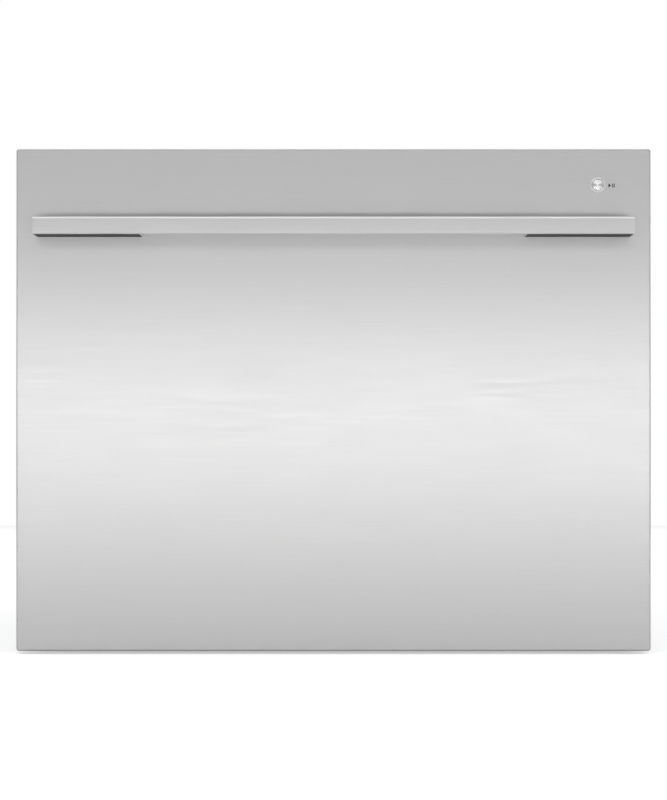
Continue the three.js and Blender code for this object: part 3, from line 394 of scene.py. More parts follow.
def moulded(name, code, roughness, grain=0.7, depth=0.012, cloud=0.06):
    """Moulded plastic: faintly cloudy, with an eroded skin whose grain and depth are in mm."""
    material, tree, shader, place = finish(name, code, roughness)
    shader.inputs["IOR"].default_value = 1.5
    drift = node(tree, "ShaderNodeTexNoise", {"Scale": 14.0, "Detail": 3.0}, {0: place})
    skin = node(tree, "ShaderNodeTexNoise", {"Scale": 1 / (grain * MM), "Detail": 2.0}, {0: place})
    vary(
        tree,
        shader,
        (0.5, depth, skin.outputs["Fac"]),
        (linear(code), deeper(code, cloud), drift.outputs["Fac"]),
        (0.35, 0.65, roughness - 0.04, roughness + 0.04, skin.outputs["Fac"]),
    )
    return material


def edges_where(bm, test):
    """The edges with both ends where a test on a place says so."""
    return [e for e in bm.edges if all(test(v.co) for v in e.verts)]


# The bar and its feet take a paler copy of the front's steel: painted light, so they look as bright
# as lit steel beside the front.
lightened_handle_steel = brushed("brushed_stainless_bar_painted_paler", "#D2D2D2", "#CACACA", 0.33, SCRATCHES, 0.03)
# A dark matt plastic for the painted shadow under the handle's feet.
foot_shadow_plastic = moulded("matt_black_painted_shadow_plastic", "#3A3A3B", 0.7, 0.8, 0.02)
HANDLE = {"half": 280, "top": 410.5, "height": 16, "thickness": 10, "reach": 44, "foot": 100}
BROKEN_EDGE = 2.0
HANDLE_BACK = FACE_Y - HANDLE["reach"] + HANDLE["thickness"]
handle_zs = (HANDLE["top"] - HANDLE["height"], HANDLE["top"])

bar = bmesh.new()
bar_ys = (HANDLE_BACK - HANDLE["thickness"], HANDLE_BACK)
block(bar, (-HANDLE["half"], HANDLE["half"]), bar_ys, handle_zs)
top_edge = edges_where(bar, lambda at: at.y < bar_ys[1] - 1 and at.z > HANDLE["top"] - 1)
soften(bar, BROKEN_EDGE, 1, top_edge)
soften(bar, 0.35)
make("handle_flat_bar", bar, lightened_handle_steel, "drawer", ["handle_bar"])

for side, place in SIDES:
    foot = bmesh.new()
    end = side * HANDLE["half"]
    block(foot, (end, end - side * HANDLE["foot"]), (HANDLE_BACK + 0.1, FACE_Y - 0.1), handle_zs)
    soften(foot, 0.6)
    foot_node = f"handle_mount_{place}"
    make(f"handle_foot_{place}", foot, lightened_handle_steel, "drawer", [foot_node])
    # A dark plastic strip under each foot is painted shadow: it darkens the foot's underside, so
    # that the steel just below reflects dark.
    cover = bmesh.new()
    shadow_strip_xs = (end - side * 0.8, end - side * (HANDLE["foot"] - 0.8))
    shadow_strip_zs = (handle_zs[0] - 0.7, handle_zs[0] + 0.5)
    block(cover, shadow_strip_xs, (HANDLE_BACK + 0.9, FACE_Y - 0.9), shadow_strip_zs)
    soften(cover, 0.3)
    make(f"handle_foot_shadow_strip_{place}", cover, foot_shadow_plastic, "drawer")

# ---------------------------------------------------------------- start button
# A round steel button, turned on a lathe, slides in a thin steel ring that is pressed into the
# front. The sign printed beside it is the usual triangle and two bars for start and pause.
ALONG = {
    "x": Matrix.Rotation(math.radians(90), 4, "Y"),
    "y": Matrix.Rotation(math.radians(-90), 4, "X"),
    "z": Matrix.Identity(4),
}


def swept(bm, geom, degrees, steps):
    """Spins what is drawn about Z. A full turn closes on itself."""
    bmesh.ops.spin(
        bm,
        geom=geom,
        axis=(0, 0, 1),
        cent=(0, 0, 0),
        angle=math.radians(degrees),
        steps=steps,
        use_merge=degrees == 360,
        use_duplicate=False,
    )


def put(bm, before, place):
    """Puts in place whatever was drawn since a set of the vertices was taken."""
    made = [v for v in bm.verts if v not in before]
    bmesh.ops.transform(bm, matrix=place, verts=made)


def turned(bm, profile, centre=(0, 0, 0), axis="z", steps=48, closed=False):
    """Spins a profile of (radius, height) points about an axis through a centre."""
    before = set(bm.verts)
    verts = [bm.verts.new((radius, 0, height)) for radius, height in profile]
    ends = verts[1:] + verts[:1] if closed else verts[1:]
    swept(bm, verts + [bm.edges.new(pair) for pair in zip(verts, ends)], 360, steps)
    put(bm, before, Matrix.Translation(centre) @ ALONG[axis])


# Tool marks of about 0.05 mm are too fine to show, so they are drawn about 0.4 mm apart.
RINGS_PER_METRE = 2500


def spun(name, code, roughness, centre):
    """Metal turned on a lathe: its fine rings draw every highlight out along the radius."""
    material, tree, shader, place = finish(name, code, roughness, 1.0)
    arm = node(tree, "ShaderNodeVectorMath", {"operation": "SUBTRACT", 1: centre}, {0: place})
    tangent = node(tree, "ShaderNodeVectorMath", {"operation": "NORMALIZE"}, {0: arm.outputs[0]})
    reach = node(tree, "ShaderNodeVectorMath", {"operation": "LENGTH"}, {0: arm.outputs[0]})
    ring_marks = {"noise_dimensions": "1D", "Scale": RINGS_PER_METRE, "Detail": 2.0}
    rings = node(tree, "ShaderNodeTexNoise", ring_marks, {"W": reach.outputs["Value"]})
    shader.inputs["Anisotropic"].default_value = 0.9
    tree.links.new(tangent.outputs[0], shader.inputs["Tangent"])
    vary(tree, shader, (0.12, 0.02, rings.outputs["Fac"]))
    return material


button_centre = (BUTTON["x"] * MM, (FACE_Y - BUTTON["proud"]) * MM, BUTTON["z"] * MM)  # metres
spun_steel = spun("spun_stainless_steel", "#F6F6F6", 0.27, button_centre)
polished_steel = spun("polished_steel_edge", "#F6F6F6", 0.4, button_centre)

ring = bmesh.new()
button_axis = (BUTTON["x"], FACE_Y, BUTTON["z"])
outer, bore, proud = BUTTON["ring"], BUTTON["bore"], -BUTTON["proud"]
ring_profile = [(bore, 4), (bore, proud + 0.3), (bore + 0.3, proud), (outer - 0.4, proud)]
ring_profile += [(outer, proud + 0.4), (outer, -0.05), (outer - 0.9, -0.05), (outer - 0.9, 4)]
turned(ring, ring_profile, button_axis, "y", 64, closed=True)
make(
    "button_ring", ring, polished_steel, "drawer", ["start_button_bezel"], crease=50
)

button = bmesh.new()
edge = BUTTON["radius"]
button_profile = [(0, proud + 0.12), (edge - 0.8, proud), (edge - 0.3, proud + 0.06)]
button_profile += [(edge, proud + 0.4), (edge, 8), (0, 8)]
turned(button, button_profile, button_axis, "y", 64)
make("round_start_button", button, spun_steel, "start_button", ["start_button"])

SIGN = {"left": 259.5, "right": 265.4, "z": 442.5, "half": 1.95, "triangle": 2.7, "bar": 0.85}
BAR_STEP = 1.45
sign_ink = moulded("dark_grey_printing_ink", "#242628", 0.6, 0.3, 0.002)
sign = bmesh.new()
sign_y = FACE_Y - 0.02
sign_zs = (SIGN["z"] - SIGN["half"], SIGN["z"] + SIGN["half"])
corners = (
    (SIGN["left"], sign_y, sign_zs[0]),
    (SIGN["left"] + SIGN["triangle"], sign_y, SIGN["z"]),
    (SIGN["left"], sign_y, sign_zs[1]),
)
bmesh.ops.contextual_create(sign, geom=[sign.verts.new(corner) for corner in corners])
on_face = Matrix.Translation((0, sign_y, 0)) @ UPRIGHT
for right in (SIGN["right"] - BAR_STEP, SIGN["right"]):
    bar_zs = (sign_zs[0] + 0.1, sign_zs[1] - 0.1)
    plate(sign, (right - SIGN["bar"], right), bar_zs, place=on_face)
make("start_pause_sign", sign, sign_ink, "drawer", wall=0.03)

# ---------------------------------------------------------------- hidden keys
# The keys lie in a moulded strip along the top edge of the front and face up, so that they show
# only when the drawer is open. The strip is dark ABS with a fine spark-eroded grain.
def dress(name, look, radius=0.4, segments=2):
    """Gives a solid of the frame its finish and rounds its edges. Its mesh is left alone."""
    solid = nodes[name]
    if not solid.material_slots:
        solid.data.materials.append(look)
    for held in solid.material_slots:
        held.material = look
    if radius:
        weld = solid.modifiers.new("weld", "WELD")
        weld.merge_threshold = 0.02 * MM
        round_off = solid.modifiers.new("round_off", "BEVEL")
        round_off.width = radius * MM
        round_off.segments = segments
        round_off.limit_method = "ANGLE"
        round_off.angle_limit = math.radians(35)
        round_off.use_clamp_overlap = True


STRIP = {"front": FACE_Y + 6.3, "back": -242.8, "top": 476.5}
KEY_Y = (STRIP["front"] + STRIP["back"]) / 2
KEY_TOP = STRIP["top"] + 0.4
dark_abs = moulded("spark_eroded_dark_ABS", "#2C2D2F", 0.42, 0.5, 0.02)
grey_keys = moulded("satin_grey_ABS_keys", "#73787C", 0.34, 0.4, 0.006)
white_print = moulded("white_printing_ink", "#E8EAEA", 0.5, 0.3, 0.002)
dress("control_strip", dark_abs, 0.3)


def prism(bm, xs, ys, zs, radius, steps=4, place=None):
    """A plate with rounded corners and a thickness, drawn flat and then put in place."""
    before = set(bm.verts)
    face = plate(bm, xs, ys, radius, steps, Matrix.Translation((0, 0, zs[0])))
    raised = bmesh.ops.extrude_face_region(bm, geom=[face], use_keep_orig=True)["geom"]
    raised_verts = only(raised, bmesh.types.BMVert)
    bmesh.ops.translate(bm, vec=(0, 0, zs[1] - zs[0]), verts=raised_verts)
    if place is not None:
        put(bm, before, place)


def stroke(bm, radius, width, place, start=0, sweep=360, steps=24):
    """A flat printed line bent on a radius, in degrees from +X, drawn in X and Y."""
    before = set(bm.verts)
    turn = Matrix.Rotation(math.radians(start), 4, "Z")
    ends = [turn @ Vector((radius + side * width / 2, 0, 0)) for side in (-1, 1)]
    verts = [bm.verts.new(end) for end in ends]
    swept(bm, [*verts, bm.edges.new(verts)], sweep, steps)
    put(bm, before, place)


# Power is a ring open at the top with a bar, the programmes are three lines, delay is a clock.
for name, x in (("power", 150), ("program", 178), ("delay", 206)):
    cap = bmesh.new()
    prism(cap, (x - 9, x + 9), (KEY_Y - 4, KEY_Y + 4), (KEY_TOP - 5, KEY_TOP), 1.2)
    soften(cap, 0.45, 3, edges_where(cap, lambda at: at.z > KEY_TOP - 0.1))
    make(f"{name}_key_cap", cap, grey_keys, f"{name}_button", [f"{name}_button"])
    mark = bmesh.new()
    level = Matrix.Translation((x, KEY_Y, KEY_TOP + 0.01))
    if name == "power":
        stroke(mark, 2, 0.45, level, 125, 290, 20)
        plate(mark, (-0.22, 0.22), (0.5, 2.6), place=level)
    elif name == "delay":
        stroke(mark, 2.1, 0.4, level)
        plate(mark, (-0.2, 0.2), (0, 1.4), place=level)
        plate(mark, (0, 1.1), (-0.2, 0.2), place=level)
    else:
        for rise in (-1.5, 0, 1.5):
            plate(mark, (-2.4, 2.4), (rise - 0.25, rise + 0.25), place=level)
    make(
        f"{name}_key_mark",
        mark,
        white_print,
        f"{name}_button",
        wall=0.02,
        outward=1,
    )

# Six small lenses beside the keys show which programme runs.
lens_green = moulded("clear_polycarbonate_lens", "#A9C7B4", 0.14, 0.5, 0.001)
LENS_PROFILE = [(0, 0.25), (0.7, 0.18), (1.0, -0.3), (0, -0.3)]
lenses = bmesh.new()
for n in range(6):
    turned(lenses, LENS_PROFILE, (228 + 8 * n, KEY_Y, STRIP["top"]), steps=16)
make("programme_lenses", lenses, lens_green, "drawer")

# ---------------------------------------------------------------- door inner, fan and controls
# The moulded polypropylene tray fills the steel front and carries it on four screws. In it are the
# case of the control board and the flat fan that dries the load through a round vent.
grey_tub_plastic = moulded("moulded_grey_polypropylene", "#BFC4C7", 0.42, 0.9, 0.015)
white_nylon = moulded("moulded_white_nylon", "#E7E6E1", 0.4, 0.6, 0.01)
dress("door_inner", grey_tub_plastic, 0.6)
dress("drying_fan_rotor", dark_abs, 0.3)

DOOR_BACK = FACE_Y + FRONT["depth"]
case_xs, case_zs, CASE_DEPTH = (130, 285), (250, 410), 11
board_case = bmesh.new()
case_place = Matrix.Translation((0, DOOR_BACK - 5, 0)) @ UPRIGHT
prism(board_case, case_xs, case_zs, (0, CASE_DEPTH), 4, place=case_place)
case_face = DOOR_BACK - 5 - CASE_DEPTH
for n in range(9):
    x = case_xs[0] + 12 + 16 * n
    rib_zs = (case_zs[0] + 12, case_zs[1] - 12)
    block(board_case, (x, x + 3), (case_face - 0.8, case_face + 0.2), rib_zs)
soften(board_case, 0.5)
make("control_board_case", board_case, dark_abs, "drawer")

# ---------------------------------------------------------------- tub
# One deep injection moulding of grey polypropylene, 4 mm thick. Its walls run into the floor on a
# large radius, its lip takes the lid's seal, and a round hole in the floor takes the sump.
TUB_X, TUB_YS, TUB_WALL = 262, (-226, 250), 4
TUB_MIDDLE = (TUB_YS[0] + TUB_YS[1]) / 2
FLOOR, RIM, TUB_CORNER, LIP = 89, 420, 40, 10
FILLET, INNER_LIP = 20, 0.9


def lofted(bm, stations, steps=6, place=None, closed=False):
    """Bridges rounded rectangles, each (xs, ys, radius, height), into a wall, in their order."""
    loops = []
    for xs, ys, radius, height in stations:
        lift = Matrix.Translation((0, 0, height))
        face = plate(bm, xs, ys, radius, steps, place @ lift if place else lift)
        loops.append(face.edges[:])
        bmesh.ops.delete(bm, geom=[face], context="FACES_ONLY")
    for near, far in zip(loops, loops[1:]):
        bmesh.ops.bridge_loops(bm, edges=near + far)
    if closed:
        bmesh.ops.bridge_loops(bm, edges=loops[0] + loops[-1])
    return loops


def inset(step, height):
    """A level of the tub's inner skin, drawn in from its wall by a step."""
    inner = TUB_X - TUB_WALL - step
    ys = (TUB_YS[0] + TUB_WALL + step, TUB_YS[1] - TUB_WALL - step)
    return ((-inner, inner), ys, TUB_CORNER - TUB_WALL - step, height)


quarter = [math.radians(angle) for angle in range(0, 91, 15)]
levels = [inset(FILLET * (1 - math.sin(a)), FLOOR + FILLET * (1 - math.cos(a))) for a in quarter]
lip_edge = TUB_WALL + LIP
for step, height in (
    (0.4, 230),
    (0, 234),
    (0, RIM - 3),
    (-INNER_LIP, RIM - INNER_LIP),
    (-3, RIM),
    (0.8 - lip_edge, RIM),
    (-lip_edge, RIM - 0.6),
):
    levels.append(inset(step, height))
skin = bmesh.new()
floor_edge = lofted(skin, levels, 8)[0]
SUMP_HOLE = 134
hole_place = Matrix.Translation((0, TUB_MIDDLE, FLOOR))
hole_verts = bmesh.ops.create_circle(
    skin, segments=72, radius=SUMP_HOLE, matrix=hole_place
)["verts"]
hole_edges = list(dict.fromkeys(e for v in hole_verts for e in v.link_edges))
bmesh.ops.triangle_fill(skin, use_beauty=True, edges=floor_edge + hole_edges)
# The floor rolls over into the hole for the sump.
for closer, drop in ((2.5, 0.8), (3.6, 2.5), (3.8, 4.2)):
    made = bmesh.ops.extrude_edge_only(skin, edges=hole_edges)["geom"]
    hole_edges = only(made, bmesh.types.BMEdge)
    for vert in only(made, bmesh.types.BMVert):
        arm = Vector((vert.co.x, vert.co.y - TUB_MIDDLE, 0)).normalized() * (SUMP_HOLE - closer)
        vert.co = Vector((arm.x, arm.y + TUB_MIDDLE, FLOOR - drop))
tub = make("wash_tub", skin, grey_tub_plastic, "drawer", ["tub"], wall=TUB_WALL)
window = bmesh.new()
block(window, (-72, 72), (TUB_YS[0] - 2, TUB_YS[0] + 6), (296, 384))
cut_away(tub, window)

# Ribs, the four bosses for the front and the lug for the hose link are part of the same moulding.
outside = bmesh.new()
for x in (-200, 200):
    for low in (120, 300):
        block(outside, (x - 20, x + 20), (DOOR_BACK + 0.3, TUB_YS[0] + 1), (low, low + 50))
soften(outside, 1.2)
x, ys = TUB_X + 2.5, (TUB_YS[0] - 2.5, TUB_YS[1] + 2.5)
foot_of_rib = ((-x + 3, x - 3), (ys[0] + 3, ys[1] - 3), TUB_CORNER - 1)
crest = ((-x, x), ys, TUB_CORNER + 2)
for height in (196, 290, 402):
    for z in (height, height + 5):
        rib = [
            (*foot_of_rib, z - 1.5), (*crest, z - 0.8), (*crest, z + 0.8), (*foot_of_rib, z + 1.5)
        ]
        lofted(outside, rib)
LINK = {"x": -240, "tub_y": 272, "rear_y": 291, "low": 140, "height": 18, "pin": 4.3}
lug_low = LINK["low"] + 2 * LINK["height"] + 4
lug_xs = (LINK["x"] - 10, LINK["x"] + 12)
block(outside, lug_xs, (TUB_YS[1] - 16, LINK["tub_y"] + 12), (lug_low, lug_low + 8))
lug_pin = [(0, 160), (LINK["pin"] - 0.6, 160), (LINK["pin"], 160.6)]
lug_pin += [(LINK["pin"], lug_low + 1), (0, lug_low + 1)]
turned(outside, lug_pin, (LINK["x"], LINK["tub_y"], 0), steps=32)
make("tub_ribs_and_bosses", outside, grey_tub_plastic, "drawer")

# Heavy bitumen mats are bonded to the outside of the tub to deaden the noise of the water.
MAT = 2.2
bitumen = moulded("bitumen_sound_mat", "#232325", 0.82, 2.2, 0.12, 0.25)
TO_RIGHT = Matrix.Rotation(math.radians(90), 4, "Z") @ UPRIGHT
mats = bmesh.new()
for side in (-1, 1):
    on_side = Matrix.Translation((side * TUB_X - (MAT if side < 0 else 0), 0, 0)) @ TO_RIGHT
    for zs in ((104, 188), (304, 392)):
        prism(mats, (-150, 175), zs, (0, MAT), 9, place=on_side)
on_back = Matrix.Translation((0, TUB_YS[1] + MAT, 0)) @ UPRIGHT
prism(mats, (-160, 215), (204, 282), (0, MAT), 9, place=on_back)
soften(mats, 0.5)
make("tub_sound_mats", mats, bitumen, "drawer")

# ---------------------------------------------------------------- sump, pump and heater
# The sump hangs under the tub's floor. The flat motor sits under it and turns the rotor in its cup
# through the wall, so that no shaft needs a seal. A flat ring heater lies on the sump's floor.
CENTRE = (0, TUB_MIDDLE, 0)
mid_grey_plastic = moulded("moulded_mid_grey_polypropylene", "#5B6268", 0.45, 0.7, 0.012)
dark_glass_nylon = moulded("glass_filled_dark_nylon", "#2A2B2E", 0.5, 0.8, 0.03)
EVEN_GRAIN = (300, 300, 300)  # per metre: rolled, not brushed
bare_steel = brushed("bare_stainless_sheet", "#B4B3AF", "#A3A29E", 0.3, EVEN_GRAIN, 0.01)


def blocks_round(bm, shares, xs, ys, zs, centre=CENTRE, axis="Z"):
    """Copies of a block about an axis through a centre, at shares of a full turn."""
    for share in shares:
        verts = block(bm, xs, ys, zs)
        place = Matrix.Translation(centre) @ Matrix.Rotation(share * math.tau, 4, axis)
        bmesh.ops.transform(bm, matrix=place, verts=verts)


def shares(count):
    return [n / count for n in range(count)]


sump = bmesh.new()
under = [(0, 32), (41, 32), (44, 35), (44, 55), (117, 55), (122, 60), (122, 80)]
lip = [(137, 80), (138, 81), (138, 83), (137, 84), (121, 84), (118, 81.5)]
well = [(118, 66), (115.5, 61), (111, 59), (43, 59), (40, 56.5), (40, 38), (38, 36), (0, 36)]
turned(sump, under + lip + well, CENTRE, steps=96)
blocks_round(sump, shares(12), (121, 136), (-1.25, 1.25), (62, 81))
make("moulded_sump", sump, mid_grey_plastic, "drawer", ["sump"])

motor = bmesh.new()
motor_profile = [(0, 26), (67, 26), (71, 28), (72, 31), (72, 50), (70, 54.7)]
motor_profile += [(44.8, 54.7), (44.8, 28.2), (0, 28.2)]
turned(motor, motor_profile, CENTRE, steps=72)
blocks_round(motor, shares(36), (70.5, 73.2), (-1, 1), (30, 50))
block(motor, (-14, 14), (TUB_MIDDLE - 88, TUB_MIDDLE - 68), (30, 48))
soften(motor, 0.5)
make("wash_motor", motor, dark_glass_nylon, "drawer", ["motor_housing"])
dress("wash_rotor", white_nylon, 0.5)

heater = bmesh.new()
heater_profile = [(48, 59.2), (112, 59.2), (112.6, 60), (112, 60.8), (48, 60.8), (47.4, 60)]
turned(heater, heater_profile, CENTRE, steps=96, closed=True)
for radius in (58, 70, 92, 104):
    bead = [(radius - 3, 60.7), (radius - 1.5, 62), (radius + 1.5, 62), (radius + 3, 60.7)]
    turned(heater, bead, CENTRE, steps=96, closed=True)
make("flat_ring_heater", heater, bare_steel, "drawer")

# ---------------------------------------------------------------- filter
# A fine perforated plate covers the sump, and the lift-out basket stands in a round seat in it.
# The riser in the middle feeds the spray arm. All are moulded, with holes of about 3 mm.
FILTER_Z = (84.3, 87.8)
BASKET = {"x": 78, "radius": 30, "low": 63.3}
SEAT = (BASKET["x"], TUB_MIDDLE, 0)


def pierced(bm, cell_faces, rim):
    """Opens a hole in each face of a grid and leaves a rim of the given width round it."""
    bmesh.ops.inset_individual(bm, faces=cell_faces, thickness=rim, depth=0, use_even_offset=True)
    bmesh.ops.delete(bm, geom=cell_faces, context="FACES_ONLY")


mesh_plate = bmesh.new()
mesh_place = Matrix.Translation((0, TUB_MIDDLE, FILTER_Z[1] - 1.4))
bmesh.ops.create_grid(mesh_plate, x_segments=42, y_segments=42, size=126, matrix=mesh_place)
outside_cells = []
for face in mesh_plate.faces:
    spot = face.calc_center_median() - Vector((0, TUB_MIDDLE, 0))
    from_middle = spot.xy.length
    from_seat = math.hypot(spot.x - BASKET["x"], spot.y)
    if from_middle > 121 or from_middle < 21 or from_seat < BASKET["radius"] + 5:
        outside_cells.append(face)
bmesh.ops.delete(mesh_plate, geom=outside_cells, context="FACES")
pierced(mesh_plate, mesh_plate.faces[:], 1.5)
make("filter_mesh", mesh_plate, mid_grey_plastic, "drawer", ["filter_plate"], wall=1.2)
frame_rings = bmesh.new()
low, high = FILTER_Z
for inner, outer, centre in (
    (118, 129.4, CENTRE),
    (48.8, 51.2, CENTRE),
    (82.8, 85.2, CENTRE),
    (30.4, 35, SEAT),
):
    band = [(inner, low), (inner, high - 0.5), (inner + 0.5, high), (outer - 0.8, high)]
    turned(frame_rings, [*band, (outer, high - 0.8), (outer, low)], centre, steps=96, closed=True)
riser = [(10, low), (10, 108.8), (11, 110), (14.2, 110), (15, 109.2), (15, 92), (17, 89)]
turned(frame_rings, [*riser, (23, high), (23, low)], CENTRE, steps=48, closed=True)
# Eight spokes in ten places: none crosses the seat of the scrap basket.
spokes = [(n + 0.5) / 10 for n in range(1, 9)]
blocks_round(frame_rings, spokes, (20, 119), (-1, 1), (low, high - 0.2))
make("filter_frame", frame_rings, mid_grey_plastic, "drawer")

scrap = bmesh.new()
rows = [(BASKET["radius"] - 1, BASKET["low"] + 2 + 3.5 * n) for n in range(6)]
turned(scrap, rows)
pierced(scrap, scrap.faces[:], 0.9)
bmesh.ops.translate(scrap, vec=SEAT, verts=scrap.verts)
make("scrap_basket_mesh", scrap, mid_grey_plastic, "drawer", ["drain_filter"], wall=1)
grip = bmesh.new()
basket_foot = [(0, 63.3), (28.5, 63.3), (30, 64.6), (30, 66), (28, 66), (27, 65.2), (0, 65.2)]
turned(grip, basket_foot, SEAT)
basket_rim = [(28, 82), (28, 87.3), (28.5, 87.8), (29.6, 87.8), (30, 87.4), (30, 82)]
turned(grip, basket_rim, SEAT, closed=True)
bar_place = Matrix.Translation((BASKET["x"], TUB_MIDDLE + 3, 86.8)) @ UPRIGHT
prism(grip, (-28.6, 28.6), (-6.9, 6.9), (0, 6), 5, 5, bar_place)
soften(grip, 0.5)
make("scrap_basket_grip", grip, mid_grey_plastic, "drawer")

# ---------------------------------------------------------------- spray arm
# Two hollow blades of moulded plastic sweep back from a hub that turns on the riser. Each has a row
# of raised jets on top, set at different radii, and a cap holds the hub down.
ARM = {"start": 6, "reach": 215, "low": 98, "high": 112, "root": 20, "tip": 14, "sweep": 8}
ARM_THICK = (6.6, 5.0)  # half of its thickness at the hub and at the tip
JET = [(0, -2), (5.5, -2), (5, 0.4), (3.4, 1.6), (1.7, 1.6), (1.2, 0.2), (0, 0.2)]
STATIONS = 12
CROSSWISE = Matrix(((0, 0, 1, 0), (1, 0, 0, 0), (0, 1, 0, 0), (0, 0, 0, 1)))


def blade_at(part):
    """How far a blade has swept back and how thick it is, at a part of its length."""
    return -ARM["sweep"] * part**1.5, ARM_THICK[0] - (ARM_THICK[0] - ARM_THICK[1]) * part


arm = bmesh.new()
jets = bmesh.new()
middle_z = (ARM["low"] + ARM["high"]) / 2
for half_turn in (0, math.pi):
    before = set(arm.verts)
    stations = []
    for n in range(STATIONS + 1):
        part = n / STATIONS
        x = ARM["start"] + (ARM["reach"] - ARM["start"]) * part
        into_tip = max(0.0, (x - (ARM["reach"] - ARM["tip"])) / ARM["tip"])
        narrow = math.sqrt(max(0.03, 1 - into_tip * into_tip))
        belly = 3 * math.sin(math.pi * part)
        wide = (ARM["root"] + (ARM["tip"] - ARM["root"]) * part + belly) * narrow
        drift, thick = blade_at(part)
        thick *= max(narrow, 0.4)
        stations.append(((drift - wide, drift + wide), (-thick, thick), thick * 0.92, x))
    loops = lofted(arm, stations, 5, CROSSWISE)
    for loop in (loops[0], loops[-1]):
        bmesh.ops.contextual_create(arm, geom=loop)
    swing = Matrix.Rotation(half_turn, 4, "Z")
    put(arm, before, Matrix.Translation((0, TUB_MIDDLE, middle_z)) @ swing)
    # The jets of one blade lie between the circles that the other's sweep.
    for n in range(6):
        x = 52 + 26 * n + (13 if half_turn else 0)
        drift, thick = blade_at((x - ARM["start"]) / (ARM["reach"] - ARM["start"]))
        to_side = 5 if n % 2 else -5
        spot = Matrix.Translation(CENTRE) @ swing @ Vector((x, drift + to_side, 0))
        turned(jets, JET, (spot.x, spot.y, middle_z + thick), steps=20)
hub_profile = [(15.6, 92.2), (21, 92), (22, 93), (22, 97), (32, 98.5), (32, 110.5)]
hub_profile += [(29, 112.6), (22, 113.6), (17, 114), (15.6, 113)]
turned(arm, hub_profile, CENTRE, steps=64, closed=True)
make("spray_arm_blades", arm, mid_grey_plastic, "spray_arm", ["spray_arm"], crease=50)
make("spray_arm_jets", jets, mid_grey_plastic, "spray_arm")
cap = bmesh.new()
turned(cap, [(15.2, 112), (15.2, 114.2), (12, 115.6), (0, 116), (0, 112)], CENTRE)
blocks_round(cap, shares(3), (6, 19), (-1.5, 1.5), (112.8, 115.4))
soften(cap, 0.4)
make("spray_arm_cap", cap, dark_abs, "spray_arm")

# ---------------------------------------------------------------- base rack
# A welded basket of steel wire with a grey nylon coating, 4 to 6 mm thick over all. Each cross wire
# is one piece, bent up at both ends and welded inside the rim. Its legs stand on the tub's floor.
RACK = {"x": 246, "front": -210, "back": 232, "floor": 124, "belt": 187, "rim": 250}
THICK, MEDIUM, SLIM, THIN = 3, 2.25, 1.75, 1.5  # radii of coated wire
BEND = 12


def coated_wire(name, code):
    """Nylon powder fused on wire: smooth and satin, with a faint orange-peel skin."""
    material, tree, shader, place = finish(name, code, 0.32)
    peel = node(tree, "ShaderNodeTexNoise", {"Scale": 450.0, "Detail": 1.0}, {0: place})
    skin = peel.outputs["Fac"]
    vary(tree, shader, (0.4, 0.08, skin), (linear(code), deeper(code, 0.15), skin))
    shader.inputs["Coat Weight"].default_value = 0.25
    return material


nylon_wire = coated_wire("nylon_coated_steel_wire", "#88929A")


def spread(low, high, count):
    """Evenly spaced values from one to another, with both."""
    return [low + (high - low) * n / (count - 1) for n in range(count)]


def bent(points, radius, steps=5, closed=False):
    """Rounds the corners of a route of straight wire."""
    corners = [Vector(p) for p in points]
    route = []
    count = len(corners)
    for n, corner in enumerate(corners):
        if not closed and n in (0, count - 1):
            route.append(corner)
            continue
        back = (corners[n - 1] - corner).normalized()
        ahead = (corners[(n + 1) % count] - corner).normalized()
        for t in spread(0, 1, steps + 1):
            route.append(corner + back * radius * (1 - t) ** 2 + ahead * radius * t**2)
    return route


def wires(name, runs, body, stands_for):
    """Coated wires along routes in millimetres, each with its radius and whether it closes."""
    curve = bpy.data.curves.new(name, "CURVE")
    curve.dimensions = "3D"
    curve.bevel_depth = 1.0
    curve.bevel_resolution = 3
    curve.use_fill_caps = True
    for route, radius, closed in runs:
        line = curve.splines.new("POLY")
        line.points.add(len(route) - 1)
        for point, spot in zip(line.points, route):
            point.co = (*spot, 1)
            point.radius = radius
        line.use_cyclic_u = closed
    drawn = bpy.data.objects.new(f"{name}_route", curve)
    scene.collection.objects.link(drawn)
    bpy.context.view_layer.update()
    mesh = bpy.data.meshes.new_from_object(
        drawn.evaluated_get(bpy.context.evaluated_depsgraph_get())
    )
    bpy.data.objects.remove(drawn)
    shape = bmesh.new()
    shape.from_mesh(mesh)
    bpy.data.meshes.remove(mesh)
    make(name, shape, nylon_wire, body, stands_for, crease=50)


def between(values):
    """The middles of the gaps in a row of values."""
    return [(low + high) / 2 for low, high in zip(values, values[1:])]


def loop_at(height, radius):
    """A wire that runs all round the rack at one height."""
    x, front, back = RACK["x"], RACK["front"], RACK["back"]
    corners = [(-x, front, height), (x, front, height), (x, back, height), (-x, back, height)]
    return (bent(corners, 13, 6, closed=True), radius, True)


def cradle(start, end, top, level, radius):
    """A wire that drops from the rim, crosses the floor and rises again."""
    route = [(*start, top), (*start, level), (*end, level), (*end, top)]
    return (bent(route, BEND), radius, False)


x, front, back = RACK["x"], RACK["front"], RACK["back"]
runs = [loop_at(RACK["rim"], THICK), loop_at(RACK["belt"], MEDIUM), loop_at(150, SLIM)]
across = spread(front + 30, back - 30, 7)
along = spread(30 - x, x - 30, 6)
for y in across:
    runs.append(cradle((-x, y), (x, y), RACK["rim"], RACK["floor"], MEDIUM))
for at in along:
    runs.append(cradle((at, front), (at, back), RACK["rim"], RACK["floor"] - 4, MEDIUM))
# Thinner wires fill the floor and walls between the thick ones.
for y in between(across):
    runs.append(cradle((-x, y), (x, y), RACK["belt"], RACK["floor"], THIN))
for at in between(along):
    runs.append(cradle((at, front), (at, back), RACK["belt"], RACK["floor"] - 3.6, THIN))
legs = [(side * x, y) for side in (-1, 1) for y in (across[0], across[-1])]
for leg in legs:
    runs.append(([(*leg, 92), (*leg, RACK["floor"] + 6)], MEDIUM, False))
rack_nodes = [f"base_rack_{part}" for part in ("left", "right", "front", "back", "floor")]
wires("base_rack_wires", runs, "drawer", rack_nodes)

